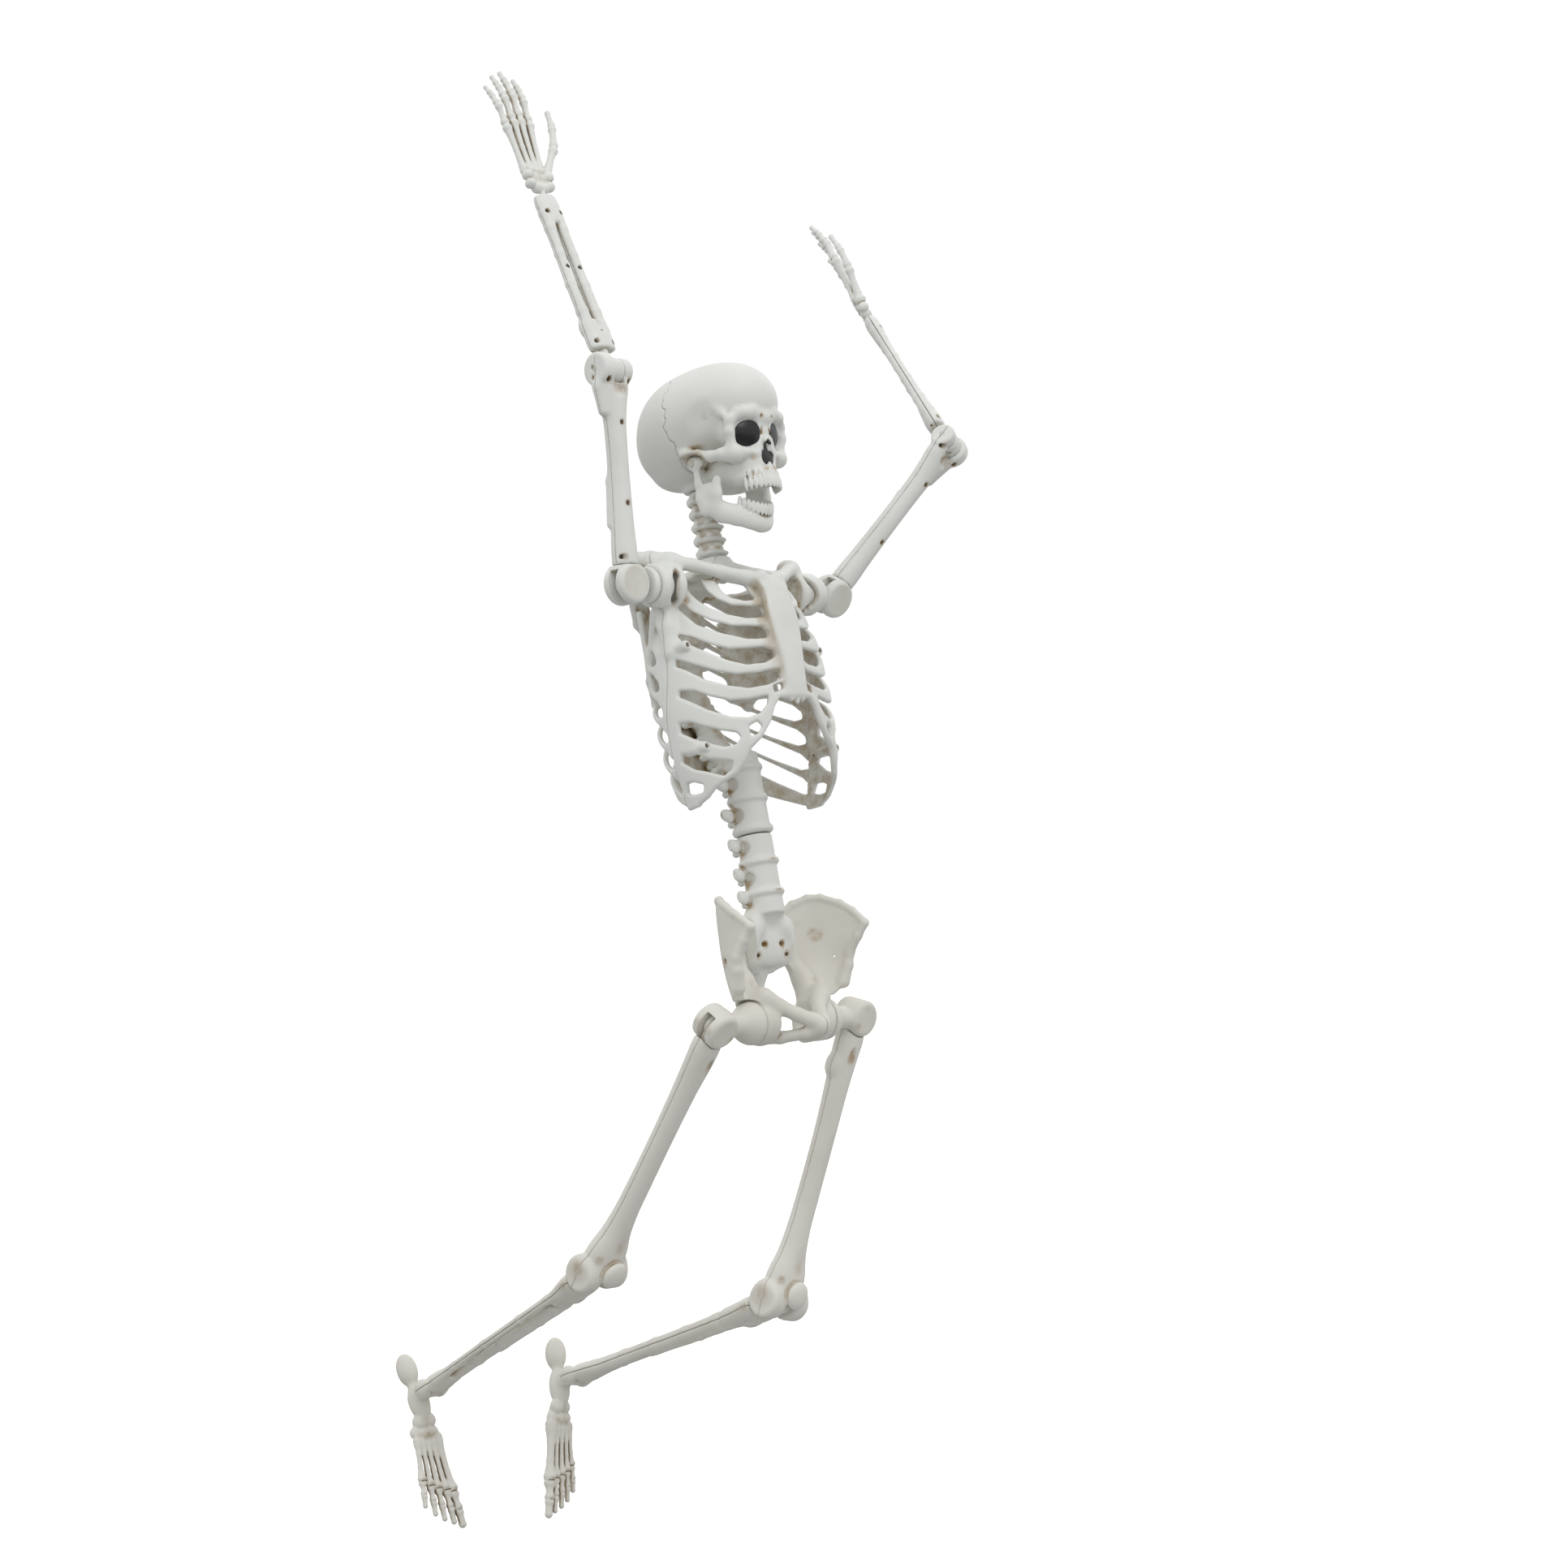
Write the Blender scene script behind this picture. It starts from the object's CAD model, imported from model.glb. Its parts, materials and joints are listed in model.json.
import json
import math

import bpy
import numpy as np
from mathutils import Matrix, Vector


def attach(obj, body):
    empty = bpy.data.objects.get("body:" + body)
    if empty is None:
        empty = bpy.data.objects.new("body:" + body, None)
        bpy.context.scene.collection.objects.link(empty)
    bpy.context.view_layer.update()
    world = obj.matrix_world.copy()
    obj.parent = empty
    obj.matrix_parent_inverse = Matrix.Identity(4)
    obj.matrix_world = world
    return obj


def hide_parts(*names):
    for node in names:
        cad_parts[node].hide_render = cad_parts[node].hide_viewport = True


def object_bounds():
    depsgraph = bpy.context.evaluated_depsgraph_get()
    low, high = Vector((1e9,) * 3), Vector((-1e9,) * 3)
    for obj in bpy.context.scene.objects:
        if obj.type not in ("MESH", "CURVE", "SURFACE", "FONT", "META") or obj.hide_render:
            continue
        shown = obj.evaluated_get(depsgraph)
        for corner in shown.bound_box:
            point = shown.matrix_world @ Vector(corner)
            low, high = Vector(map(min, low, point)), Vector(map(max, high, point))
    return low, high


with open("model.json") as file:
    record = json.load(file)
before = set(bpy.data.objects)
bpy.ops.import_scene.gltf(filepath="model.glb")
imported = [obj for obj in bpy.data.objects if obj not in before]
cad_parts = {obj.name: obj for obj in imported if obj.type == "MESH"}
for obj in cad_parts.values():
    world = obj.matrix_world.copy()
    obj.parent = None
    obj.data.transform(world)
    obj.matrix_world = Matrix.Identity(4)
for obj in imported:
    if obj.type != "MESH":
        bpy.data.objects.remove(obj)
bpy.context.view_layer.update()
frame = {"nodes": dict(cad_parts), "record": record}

import openvdb as vdb
from mathutils import Matrix, Vector

# The figure is posable: skull, jaw, neck, rib cage, spine, hips, arms and legs are hollow plastic shells
# in the shape of bones. Each visible piece is modelled as a distance field ("clay") in the frame of
# its own body and turned into a smooth mesh there. Lengths are in mm until a mesh is placed, in metres.

MM = 0.001
JOINTS = {j["name"]: j for j in frame["record"]["behaviour"]["joints"]}
# turns of the foot from the shin and of the jaw from the skull, in degrees, as the figure stands
ANKLE_REST = 4.0
JAW_REST = 10.0
# distance, in mm, given to empty space in a new block of clay
EMPTY = 60.0


# ------------------------------------------------------------------ local frames of the bodies

def unit(v):
    v = np.asarray(v, float)
    return v / np.linalg.norm(v)


def spot(joint):
    return np.asarray(JOINTS[joint]["pos_m"], float) / MM


def axis(joint, sign=1):
    return sign * unit(JOINTS[joint]["axis"])


class Local:
    """Millimetre frame with x to the figure's left, y to its back and z up the limb."""

    def __init__(self, origin, x, z):
        self.p = np.asarray(origin, float)
        z = unit(z)
        y = unit(np.cross(z, x))
        self.r = np.column_stack([np.cross(y, z), y, z])

    def out(self, points):
        return (points @ self.r.T + self.p) * MM


left = np.array([1.0, 0, 0])
torso = Local((0, 0, 0), left, axis("waist_turn"))
neck = Local(spot("neck_turn"), left, axis("neck_turn"))
skull = Local(spot("head_turn"), axis("jaw_open"), axis("head_turn"))
pelvis = Local(spot("waist_turn"), axis("hip_swing_right"), axis("waist_turn"))
frames = {}
for word, sx in (("left", 1), ("right", -1)):
    swing = axis("shoulder_swing_" + word, -sx)
    spread_y = axis("shoulder_spread_" + word, -sx)
    bend_x = axis("elbow_bend_" + word, -1)
    arm_z = axis("upper_arm_twist_" + word)
    fore_z = axis("forearm_twist_" + word)
    shoulder = spot("shoulder_swing_" + word)
    frames["hub", word] = Local(shoulder, swing, np.cross(swing, spread_y))
    frames["knuckle", word] = Local(shoulder, np.cross(spread_y, arm_z), arm_z)
    frames["upper_arm", word] = Local(shoulder, bend_x, arm_z)
    frames["elbow", word] = Local(spot("elbow_bend_" + word), bend_x, fore_z)
    frames["hand", word] = Local(spot("wrist_turn_" + word), bend_x, fore_z)
    hip, knee, heel = (spot(f"{n}_{word}") for n in ("hip_swing", "knee_bend", "ankle_bend"))
    knee_x = axis("knee_bend_" + word)
    hip_x = axis("hip_swing_" + word, -sx)
    open_y = axis("thigh_spread_" + word, -sx)
    frames["hip", word] = Local(hip, hip_x, np.cross(hip_x, open_y))
    frames["thigh", word] = Local(hip, knee_x, hip - knee)
    frames["shin", word] = Local(knee, knee_x, knee - heel)
    turn = np.array(Matrix.Rotation(math.radians(ANKLE_REST), 3, Vector(knee_x)))
    frames["foot", word] = Local(heel, knee_x, turn @ unit(knee - heel))
jaw_turn = np.array(Matrix.Rotation(math.radians(JAW_REST), 3, Vector(axis("jaw_open"))))
jaw = Local(spot("jaw_open"), axis("jaw_open"), jaw_turn @ skull.r[:, 2])


# ------------------------------------------------------------------ clay: shapes as distance fields

# Every shape is (field, low corner, high corner): field gives the distance to its surface, in mm,
# negative inside. k is always the size of the fillet where two shapes meet.

def soft_min(a, b, k):
    """Union of two fields with a fillet of size k."""
    if k <= 0:
        return np.minimum(a, b)
    h = np.clip(0.5 + 0.5 * (b - a) / k, 0, 1)
    return b + (a - b) * h - k * h * (1 - h)


def egg(c, r, turn=None):
    """Ellipsoid; turn is (axis letter, degrees) or a list of them."""
    c, r = np.asarray(c, float), np.asarray(r, float)
    m = np.eye(3)
    for letter, degrees in ([turn] if isinstance(turn, tuple) else turn or []):
        m = m @ np.array(Matrix.Rotation(math.radians(degrees), 3, letter))
    reach = np.sqrt(((m * r) ** 2).sum(axis=1))

    def shape(x, y, z):
        x, y, z = x - c[0], y - c[1], z - c[2]
        u = (m[0, 0] * x + m[1, 0] * y + m[2, 0] * z) / r[0]
        v = (m[0, 1] * x + m[1, 1] * y + m[2, 1] * z) / r[1]
        w = (m[0, 2] * x + m[1, 2] * y + m[2, 2] * z) / r[2]
        k0 = np.sqrt(u * u + v * v + w * w)
        k1 = np.sqrt((u / r[0]) ** 2 + (v / r[1]) ** 2 + (w / r[2]) ** 2)
        return k0 * (k0 - 1) / np.maximum(k1, 1e-6)
    return shape, c - reach, c + reach


def rod(a, b, ra, rb=None, flat=None, squash=1.0):
    """Round-ended taper from a to b; flat is a direction along which it is squashed."""
    a, b = np.asarray(a, float), np.asarray(b, float)
    rb = ra if rb is None else rb
    ab = b - a
    n2 = max(ab @ ab, 1e-9)
    f = None if flat is None else unit(flat)

    def shape(x, y, z):
        t = np.clip(((x - a[0]) * ab[0] + (y - a[1]) * ab[1] + (z - a[2]) * ab[2]) / n2, 0, 1)
        px, py, pz = x - a[0] - t * ab[0], y - a[1] - t * ab[1], z - a[2] - t * ab[2]
        q = px * px + py * py + pz * pz
        rr = ra + (rb - ra) * t
        if f is not None:
            s = px * f[0] + py * f[1] + pz * f[2]
            q = q + s * s * (1 / squash ** 2 - 1)
            return (np.sqrt(q) - rr) * (squash if squash < 1 else 1.0)
        return np.sqrt(q) - rr
    big = max(ra, rb)
    return shape, np.minimum(a, b) - big, np.maximum(a, b) + big


def drum(letter, low, high, r, u=0, v=0, edge=1.5):
    """Cylinder with rounded edges along x, y or z; u and v place its axis."""
    low, high = min(low, high), max(low, high)
    i = "xyz".index(letter)
    order = {"x": (1, 2), "y": (0, 2), "z": (0, 1)}[letter]
    mid, half = (low + high) / 2, (high - low) / 2
    lo, hi = np.zeros(3), np.zeros(3)
    lo[i], hi[i] = low, high
    for j, w in zip(order, (u, v)):
        lo[j], hi[j] = w - r, w + r

    def shape(x, y, z):
        p = (x, y, z)
        q = np.sqrt((p[order[0]] - u) ** 2 + (p[order[1]] - v) ** 2) - r + edge
        s = np.abs(p[i] - mid) - half + edge
        return np.sqrt(np.maximum(q, 0) ** 2 + np.maximum(s, 0) ** 2) + np.minimum(np.maximum(q, s), 0) - edge
    return shape, lo, hi


def brick(low, high, edge=1.0, turn=None):
    """Box between two opposite corners with rounded edges; turn is (axis letter, degrees)."""
    low, high = np.minimum(low, high).astype(float), np.maximum(low, high).astype(float)
    mid, half = (low + high) / 2, (high - low) / 2
    m = np.eye(3)
    if turn:
        m = np.array(Matrix.Rotation(math.radians(turn[1]), 3, turn[0]))
    reach = (np.abs(m) * half).sum(axis=1)

    def shape(x, y, z):
        x, y, z = x - mid[0], y - mid[1], z - mid[2]
        q = [np.abs(m[0, k] * x + m[1, k] * y + m[2, k] * z) - half[k] + edge for k in range(3)]
        out = np.sqrt(sum(np.maximum(w, 0) ** 2 for w in q))
        return out + np.minimum(np.maximum(np.maximum(q[0], q[1]), q[2]), 0) - edge
    return shape, mid - reach, mid + reach


def smooth_table(table, z):
    """Columns of a station table at heights z, by cubic pieces."""
    table = np.array(sorted(table), float)
    zs, cols = table[:, 0], table[:, 1:]
    i = np.clip(np.searchsorted(zs, z) - 1, 0, len(zs) - 2)
    span = zs[i + 1] - zs[i]
    t = np.clip((z - zs[i]) / span, 0, 1)
    slope = np.gradient(cols, zs, axis=0)
    out = []
    for c in range(cols.shape[1]):
        a, b = cols[i, c], cols[i + 1, c]
        ma, mb = slope[i, c] * span, slope[i + 1, c] * span
        t2, t3 = t * t, t * t * t
        out.append((2 * t3 - 3 * t2 + 1) * a + (t3 - 2 * t2 + t) * ma
                   + (3 * t2 - 2 * t3) * b + (t3 - t2) * mb)
    return out


def shaft(table, edge=3.0, power=2.0):
    """Bone shaft from stations (z, centre x, centre y, half width x, half depth y)."""
    zs = [row[0] for row in table]
    zs_low, zs_high = min(zs), max(zs)
    wide = max(abs(row[1]) + row[3] for row in table)
    deep = max(abs(row[2]) + row[4] for row in table)

    def shape(x, y, z):
        cx, cy, rx, ry = (np.asarray(c, np.float32)[None, None, :] for c in smooth_table(table, np.ravel(z)))
        u, v = np.abs((x - cx) / rx), np.abs((y - cy) / ry)
        if power == 2.0:
            n = np.sqrt(u * u + v * v)
        else:
            n = (u ** power + v ** power) ** (1 / power)
        q = (n - 1) * np.minimum(rx, ry) + edge
        s = np.maximum(z - zs_high, zs_low - z) + edge
        return np.sqrt(np.maximum(q, 0) ** 2 + np.maximum(s, 0) ** 2) + np.minimum(np.maximum(q, s), 0) - edge
    return shape, np.array([-wide, -deep, zs_low]), np.array([wide, deep, zs_high])


class Clay:
    """Block of space between two opposite corners that holds the distance to a growing shape."""

    def __init__(self, low, high, step):
        self.step = step
        self.low = np.minimum(low, high).astype(float)
        n = np.ceil((np.maximum(low, high) - self.low) / step).astype(int) + 1
        self.ax = [(self.low[i] + step * np.arange(n[i])).astype(np.float32) for i in range(3)]
        self.d = np.full(tuple(n), EMPTY, np.float32)

    def window(self, low, high, pad):
        """Slices and grids of the part of the block that a shape can touch."""
        s, p = [], []
        for i in range(3):
            a = max(int((low[i] - pad - self.low[i]) / self.step), 0)
            b = min(int((high[i] + pad - self.low[i]) / self.step) + 2, self.d.shape[i])
            if b <= a:
                return None, None
            s.append(slice(a, b))
        grids = (self.ax[0][s[0]][:, None, None], self.ax[1][s[1]][None, :, None],
                 self.ax[2][s[2]][None, None, :])
        return tuple(s), grids

    def add(self, shape, k=0.0):
        fn, low, high = shape
        s, g = self.window(low, high, k + 3 * self.step)
        if s:
            self.d[s] = soft_min(self.d[s], np.asarray(fn(*g), np.float32), k)
        return self

    def carve(self, shape, k=0.0):
        fn, low, high = shape
        s, g = self.window(low, high, k + 3 * self.step)
        if s:
            self.d[s] = -soft_min(-self.d[s], np.asarray(fn(*g), np.float32), k)
        return self

    def path(self, points, k=2.0, join=0.0, flat=None, squash=1.0):
        """Rods through (x, y, z, r) points; join is the fillet between one rod and the next."""
        for n, (p, q) in enumerate(zip(points, points[1:])):
            self.add(rod(p[:3], q[:3], p[3], q[3], flat, squash), k if n == 0 else join or k)
        return self

    def copy(self):
        other = Clay.__new__(Clay)
        other.step, other.low, other.ax, other.d = self.step, self.low, self.ax, self.d.copy()
        return other

    def blank(self):
        """Empty clay in the same place."""
        other = self.copy()
        other.d[:] = EMPTY
        return other

    def grid(self):
        return self.ax[0][:, None, None], self.ax[1][None, :, None], self.ax[2][None, None, :]

    def keep(self, field, k=0.6):
        """Keep where field < 0."""
        self.d = -soft_min(-self.d, -np.asarray(np.broadcast_to(field, self.d.shape), np.float32), k)
        return self

    def sample(self, points):
        """Distances at any points, by trilinear interpolation."""
        q = (points - self.low) / self.step
        i = np.clip(np.floor(q).astype(int), 0, np.array(self.d.shape) - 2)
        f = np.clip(q - i, 0, 1)
        total = 0
        for dx in (0, 1):
            for dy in (0, 1):
                for dz in (0, 1):
                    w = ((f[:, 0] if dx else 1 - f[:, 0]) * (f[:, 1] if dy else 1 - f[:, 1])
                         * (f[:, 2] if dz else 1 - f[:, 2]))
                    total = total + w * self.d[i[:, 0] + dx, i[:, 1] + dy, i[:, 2] + dz]
        return total


# ------------------------------------------------------------------ materials

def bone_finish(name, base, shade, wash, rough, seed):
    """Matt moulded plastic: cloudy bone colour, brown wash in the hollows and stains, fine grain."""
    m = bpy.data.materials.new(name)
    m.use_nodes = True
    t = m.node_tree
    n, link = t.nodes, t.links.new
    bsdf = n["Principled BSDF"]
    tc = n.new("ShaderNodeTexCoord")
    cav = n.new("ShaderNodeAttribute")
    cav.attribute_name = "cavity"
    stain = n.new("ShaderNodeAttribute")
    stain.attribute_name = "stain"

    def noise(scale, detail, rough_=0.55, w=0.0):
        made = n.new("ShaderNodeTexNoise")
        made.noise_dimensions = "4D"
        made.inputs["W"].default_value = seed + w
        made.inputs["Scale"].default_value = scale
        made.inputs["Detail"].default_value = detail
        made.inputs["Roughness"].default_value = rough_
        link(tc.outputs["Object"], made.inputs["Vector"])
        return made.outputs["Fac"]

    def ramp(source, low, high, a=0.0, b=1.0):
        made = n.new("ShaderNodeMapRange")
        made.interpolation_type = "SMOOTHSTEP"
        for key, val in zip(("From Min", "From Max", "To Min", "To Max"), (low, high, a, b)):
            made.inputs[key].default_value = val
        link(source, made.inputs["Value"])
        return made.outputs["Result"]

    def calc(kind, a, b):
        made = n.new("ShaderNodeMath")
        made.operation = kind
        made.use_clamp = kind == "ADD"
        for socket, source in zip(made.inputs, (a, b)):
            if hasattr(source, "links"):
                link(source, socket)
            else:
                socket.default_value = source
        return made.outputs[0]

    def mix(fac, a, b):
        made = n.new("ShaderNodeMix")
        made.data_type = "RGBA"
        link(fac, made.inputs[0])
        for socket, source in zip((made.inputs[6], made.inputs[7]), (a, b)):
            if hasattr(source, "links"):
                link(source, socket)
            else:
                socket.default_value = (*source, 1)
        return made.outputs[2]

    cloud = ramp(noise(9, 3), 0.35, 0.7)
    colour = mix(cloud, base, shade)
    speck = ramp(noise(160, 3, 0.6, 3.0), 0.66, 0.78, 0.0, 0.16)
    colour = mix(speck, colour, wash)
    patchy = ramp(noise(38, 4, 0.6, 7.0), 0.3, 0.75, 0.45, 1.15)
    hollow = calc("MULTIPLY", ramp(cav.outputs["Fac"], 0.30, 0.78), patchy)
    worn = calc("MULTIPLY", ramp(stain.outputs["Fac"], 0.12, 0.8),
                ramp(noise(70, 5, 0.65, 11.0), 0.36, 0.66, 0.25, 1.1))
    tan = calc("ADD", calc("MULTIPLY", hollow, 0.85), calc("MULTIPLY", worn, 0.8))
    colour = mix(tan, colour, wash)
    deep = ramp(cav.outputs["Fac"], 0.74, 1.0, 0.0, 0.8)
    colour = mix(deep, colour, tuple(c * 0.3 for c in wash))
    colour = mix(ramp(stain.outputs["Fac"], 1.25, 1.7), colour, AMBER)
    link(colour, bsdf.inputs["Base Color"])
    gloss = ramp(noise(24, 4, 0.5, 5.0), 0.3, 0.7, rough - 0.07, rough + 0.09)
    link(gloss, bsdf.inputs["Roughness"])
    bsdf.inputs["Specular IOR Level"].default_value = 0.42
    fine = calc("ADD", calc("MULTIPLY", noise(420, 3, 0.6, 2.0), 0.25),
                calc("MULTIPLY", noise(60, 4, 0.5, 9.0), 0.6))
    bump = n.new("ShaderNodeBump")
    bump.inputs["Strength"].default_value = 0.22
    bump.inputs["Distance"].default_value = 0.0012
    link(fine, bump.inputs["Height"])
    link(bump.outputs["Normal"], bsdf.inputs["Normal"])
    return m


def plain_finish(name, colour, second, rough, metal=0.0, scale=60):
    """Two colours of one noise, which also drives roughness and a faint bump."""
    m = bpy.data.materials.new(name)
    m.use_nodes = True
    t = m.node_tree
    n, link = t.nodes, t.links.new
    bsdf = n["Principled BSDF"]
    tc = n.new("ShaderNodeTexCoord")
    noise = n.new("ShaderNodeTexNoise")
    noise.inputs["Scale"].default_value = scale
    noise.inputs["Detail"].default_value = 5
    link(tc.outputs["Object"], noise.inputs["Vector"])
    mix = n.new("ShaderNodeMix")
    mix.data_type = "RGBA"
    mix.inputs[6].default_value = (*colour, 1)
    mix.inputs[7].default_value = (*second, 1)
    link(noise.outputs["Fac"], mix.inputs[0])
    link(mix.outputs[2], bsdf.inputs["Base Color"])
    span = n.new("ShaderNodeMapRange")
    span.inputs["To Min"].default_value = rough * 0.8
    span.inputs["To Max"].default_value = rough * 1.25
    link(noise.outputs["Fac"], span.inputs["Value"])
    link(span.outputs["Result"], bsdf.inputs["Roughness"])
    bsdf.inputs["Metallic"].default_value = metal
    bump = n.new("ShaderNodeBump")
    bump.inputs["Strength"].default_value = 0.12
    bump.inputs["Distance"].default_value = 0.0004
    link(noise.outputs["Fac"], bump.inputs["Height"])
    link(bump.outputs["Normal"], bsdf.inputs["Normal"])
    return m


WASH = (0.37, 0.265, 0.135)
AMBER = (0.24, 0.12, 0.016)
BONE = bone_finish("bone_upper", (0.765, 0.775, 0.74), (0.70, 0.71, 0.67), WASH, 0.46, 1.0)
BONE_LEGS = bone_finish("bone_lower", (0.745, 0.735, 0.68), (0.675, 0.66, 0.595), WASH, 0.48, 4.0)
BLACK = plain_finish("insert_gloss", (0.002, 0.002, 0.003), (0.005, 0.005, 0.006), 0.30)
SCREW = plain_finish("screw_dark", (0.10, 0.085, 0.07), (0.22, 0.18, 0.14), 0.42, metal=0.85, scale=300)
PIN = plain_finish("pin_plastic", (0.60, 0.58, 0.53), (0.48, 0.45, 0.38), 0.5, scale=120)


# ------------------------------------------------------------------ clay to mesh

# voxels on each side of the surface that keep a true distance
BAND = 2.9
# hollows are felt out at these distances from the surface, in mm, with these shares
FEELERS = ((2.5, 0.35), (6.0, 0.35), (13.0, 0.30))
# a stain fades out at this many times its radius
STAIN_EDGE = 1.25
# strength, slope and start of the stain on faces that look at the middle of the chest
INSIDE_STAIN = (0.62, 1.6, 0.45)


def skin_of(clay):
    """Points and quads of the clay's surface, in its own frame."""
    solid = np.argwhere(clay.d < 2 * clay.step)
    lo = np.maximum(solid.min(axis=0) - 2, 0)
    hi = solid.max(axis=0) + 3
    limit = BAND * clay.step
    part = np.clip(clay.d[lo[0]:hi[0], lo[1]:hi[1], lo[2]:hi[2]], -limit, limit)
    part = np.pad(np.ascontiguousarray(part), 1, constant_values=limit)
    volume = vdb.FloatGrid(limit)
    volume.copyFromArray(part)
    points, quads = volume.convertToQuads(isovalue=0.0)
    return (points.astype(float) - 1 + lo) * clay.step + clay.low, quads


def normals_at(clay, at):
    steps = np.eye(3) * clay.step
    grad = np.stack([clay.sample(at + v) - clay.sample(at - v) for v in steps], axis=1)
    return grad / np.maximum(np.linalg.norm(grad, axis=1, keepdims=True), 1e-6)


def hollows_at(clay, at, normal):
    """How shut in each point is, where dirt and wash collect."""
    shut = np.zeros(len(at))
    for far, share in FEELERS:
        shut += share * np.clip(1 - clay.sample(at + normal * far) / far, 0, 1.4)
    return shut


def stains_at(at, normal, stains, inside):
    """Stain strength from (centre, radius, strength) spots and, in the chest, on inward faces."""
    stain = np.zeros(len(at))
    for centre, radius, strength in stains:
        gap = np.linalg.norm((at - np.asarray(centre, float)) / np.asarray(radius, float), axis=1)
        stain = np.maximum(stain, strength * np.clip(STAIN_EDGE - gap, 0, 1))
    if inside is not None:
        most, slope, start = INSIDE_STAIN
        away = at - np.asarray(inside, float)
        away[:, 2] = 0
        away /= np.maximum(np.linalg.norm(away, axis=1, keepdims=True), 1e-6)
        stain = np.maximum(stain, most * np.clip(-(normal * away).sum(axis=1) * slope - start, 0, 1))
    return stain


def fire(name, clay, local, body, nodes, material, stains=(), inside=None):
    """Turn a distance field into a smooth mesh piece that replaces CAD nodes."""
    at, quads = skin_of(clay)
    normal = normals_at(clay, at)
    placed = local.out(at)
    outward = local.out(at + normal) - placed
    a, b, c = placed[quads[:, 0]], placed[quads[:, 1]], placed[quads[:, 2]]
    if (np.cross(b - a, c - a) * outward[quads[:, 0]]).sum() < 0:
        quads = quads[:, ::-1]
    mesh = bpy.data.meshes.new(name)
    mesh.vertices.add(len(at))
    mesh.vertices.foreach_set("co", placed.astype(np.float32).ravel())
    mesh.loops.add(quads.size)
    mesh.loops.foreach_set("vertex_index", quads.astype(np.int32).ravel())
    mesh.polygons.add(len(quads))
    mesh.polygons.foreach_set("loop_start", np.arange(0, quads.size, 4, dtype=np.int32))
    mesh.update(calc_edges=True)
    mesh.polygons.foreach_set("use_smooth", np.ones(len(quads), bool))
    layers = {"cavity": hollows_at(clay, at, normal), "stain": stains_at(at, normal, stains, inside)}
    for key, values in layers.items():
        layer = mesh.attributes.new(key, "FLOAT", "POINT")
        layer.data.foreach_set("value", values.astype(np.float32))
    mesh.materials.append(material)
    mesh.validate()
    piece = bpy.data.objects.new(name, mesh)
    bpy.context.scene.collection.objects.link(piece)
    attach(piece, body)
    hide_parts(*nodes)


def fire_sided(name, word, clay, where, material, stains):
    """One-piece limb part: node, body and visible piece share its name and side."""
    node = f"{name}_{word}"
    fire("visible_" + node, clay, where, node, [node], material, stains)


def split_halves(name, clay, local, body, word, material, stains=(), seam=0.28, wave=None):
    """Front (-y) and rear (+y) half of a moulded bone, with a fine open seam."""
    x, y, z = clay.grid()
    plane = y if wave is None else y - wave(x, z)
    for side, label in ((1, "front"), (-1, "rear")):
        half = clay.copy().keep(side * plane + seam, 0.9)
        node = f"{name}_{label}" + (f"_{word}" if word else "")
        fire("visible_" + node, half, local, body, [node], material, stains)


def holes(clay, places, floor, r=2.9):
    """Screw holes from the back (+y) down to the level floor."""
    for x, z in places:
        clay.carve(drum("y", floor + 0.2, floor + 60, r, x, z, 0.3), 0.8)


# ------------------------------------------------------------------ skull

def along(points, count):
    """Evenly spaced points on a polyline of (x, y, z, r)."""
    points = np.asarray(points, float)
    seg = np.linalg.norm(np.diff(points[:, :3], axis=0), axis=1)
    at = np.concatenate([[0], np.cumsum(seg)])
    want = np.linspace(0, at[-1], count)
    return np.column_stack([np.interp(want, at, points[:, i]) for i in range(points.shape[1])])


# middle of the figure's left eye socket
EYE = (28, -108, 37)
# plane of the skull's seam, which wanders like a grown suture
SKULL_SEAM = -20


def seam_wave(x, z):
    return (SKULL_SEAM + 2.4 * np.sin(0.17 * z + 0.05 * x) + 1.3 * np.sin(0.47 * z + 1 + 0.1 * x)
            + 0.7 * np.sin(1.1 * z))


TEETH = 14
MIDDLE = (TEETH - 1) / 2


def tooth_turn(n):
    """Place of a tooth round the jaw, in radians from the middle."""
    return math.radians(12 * n - 78)


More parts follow.
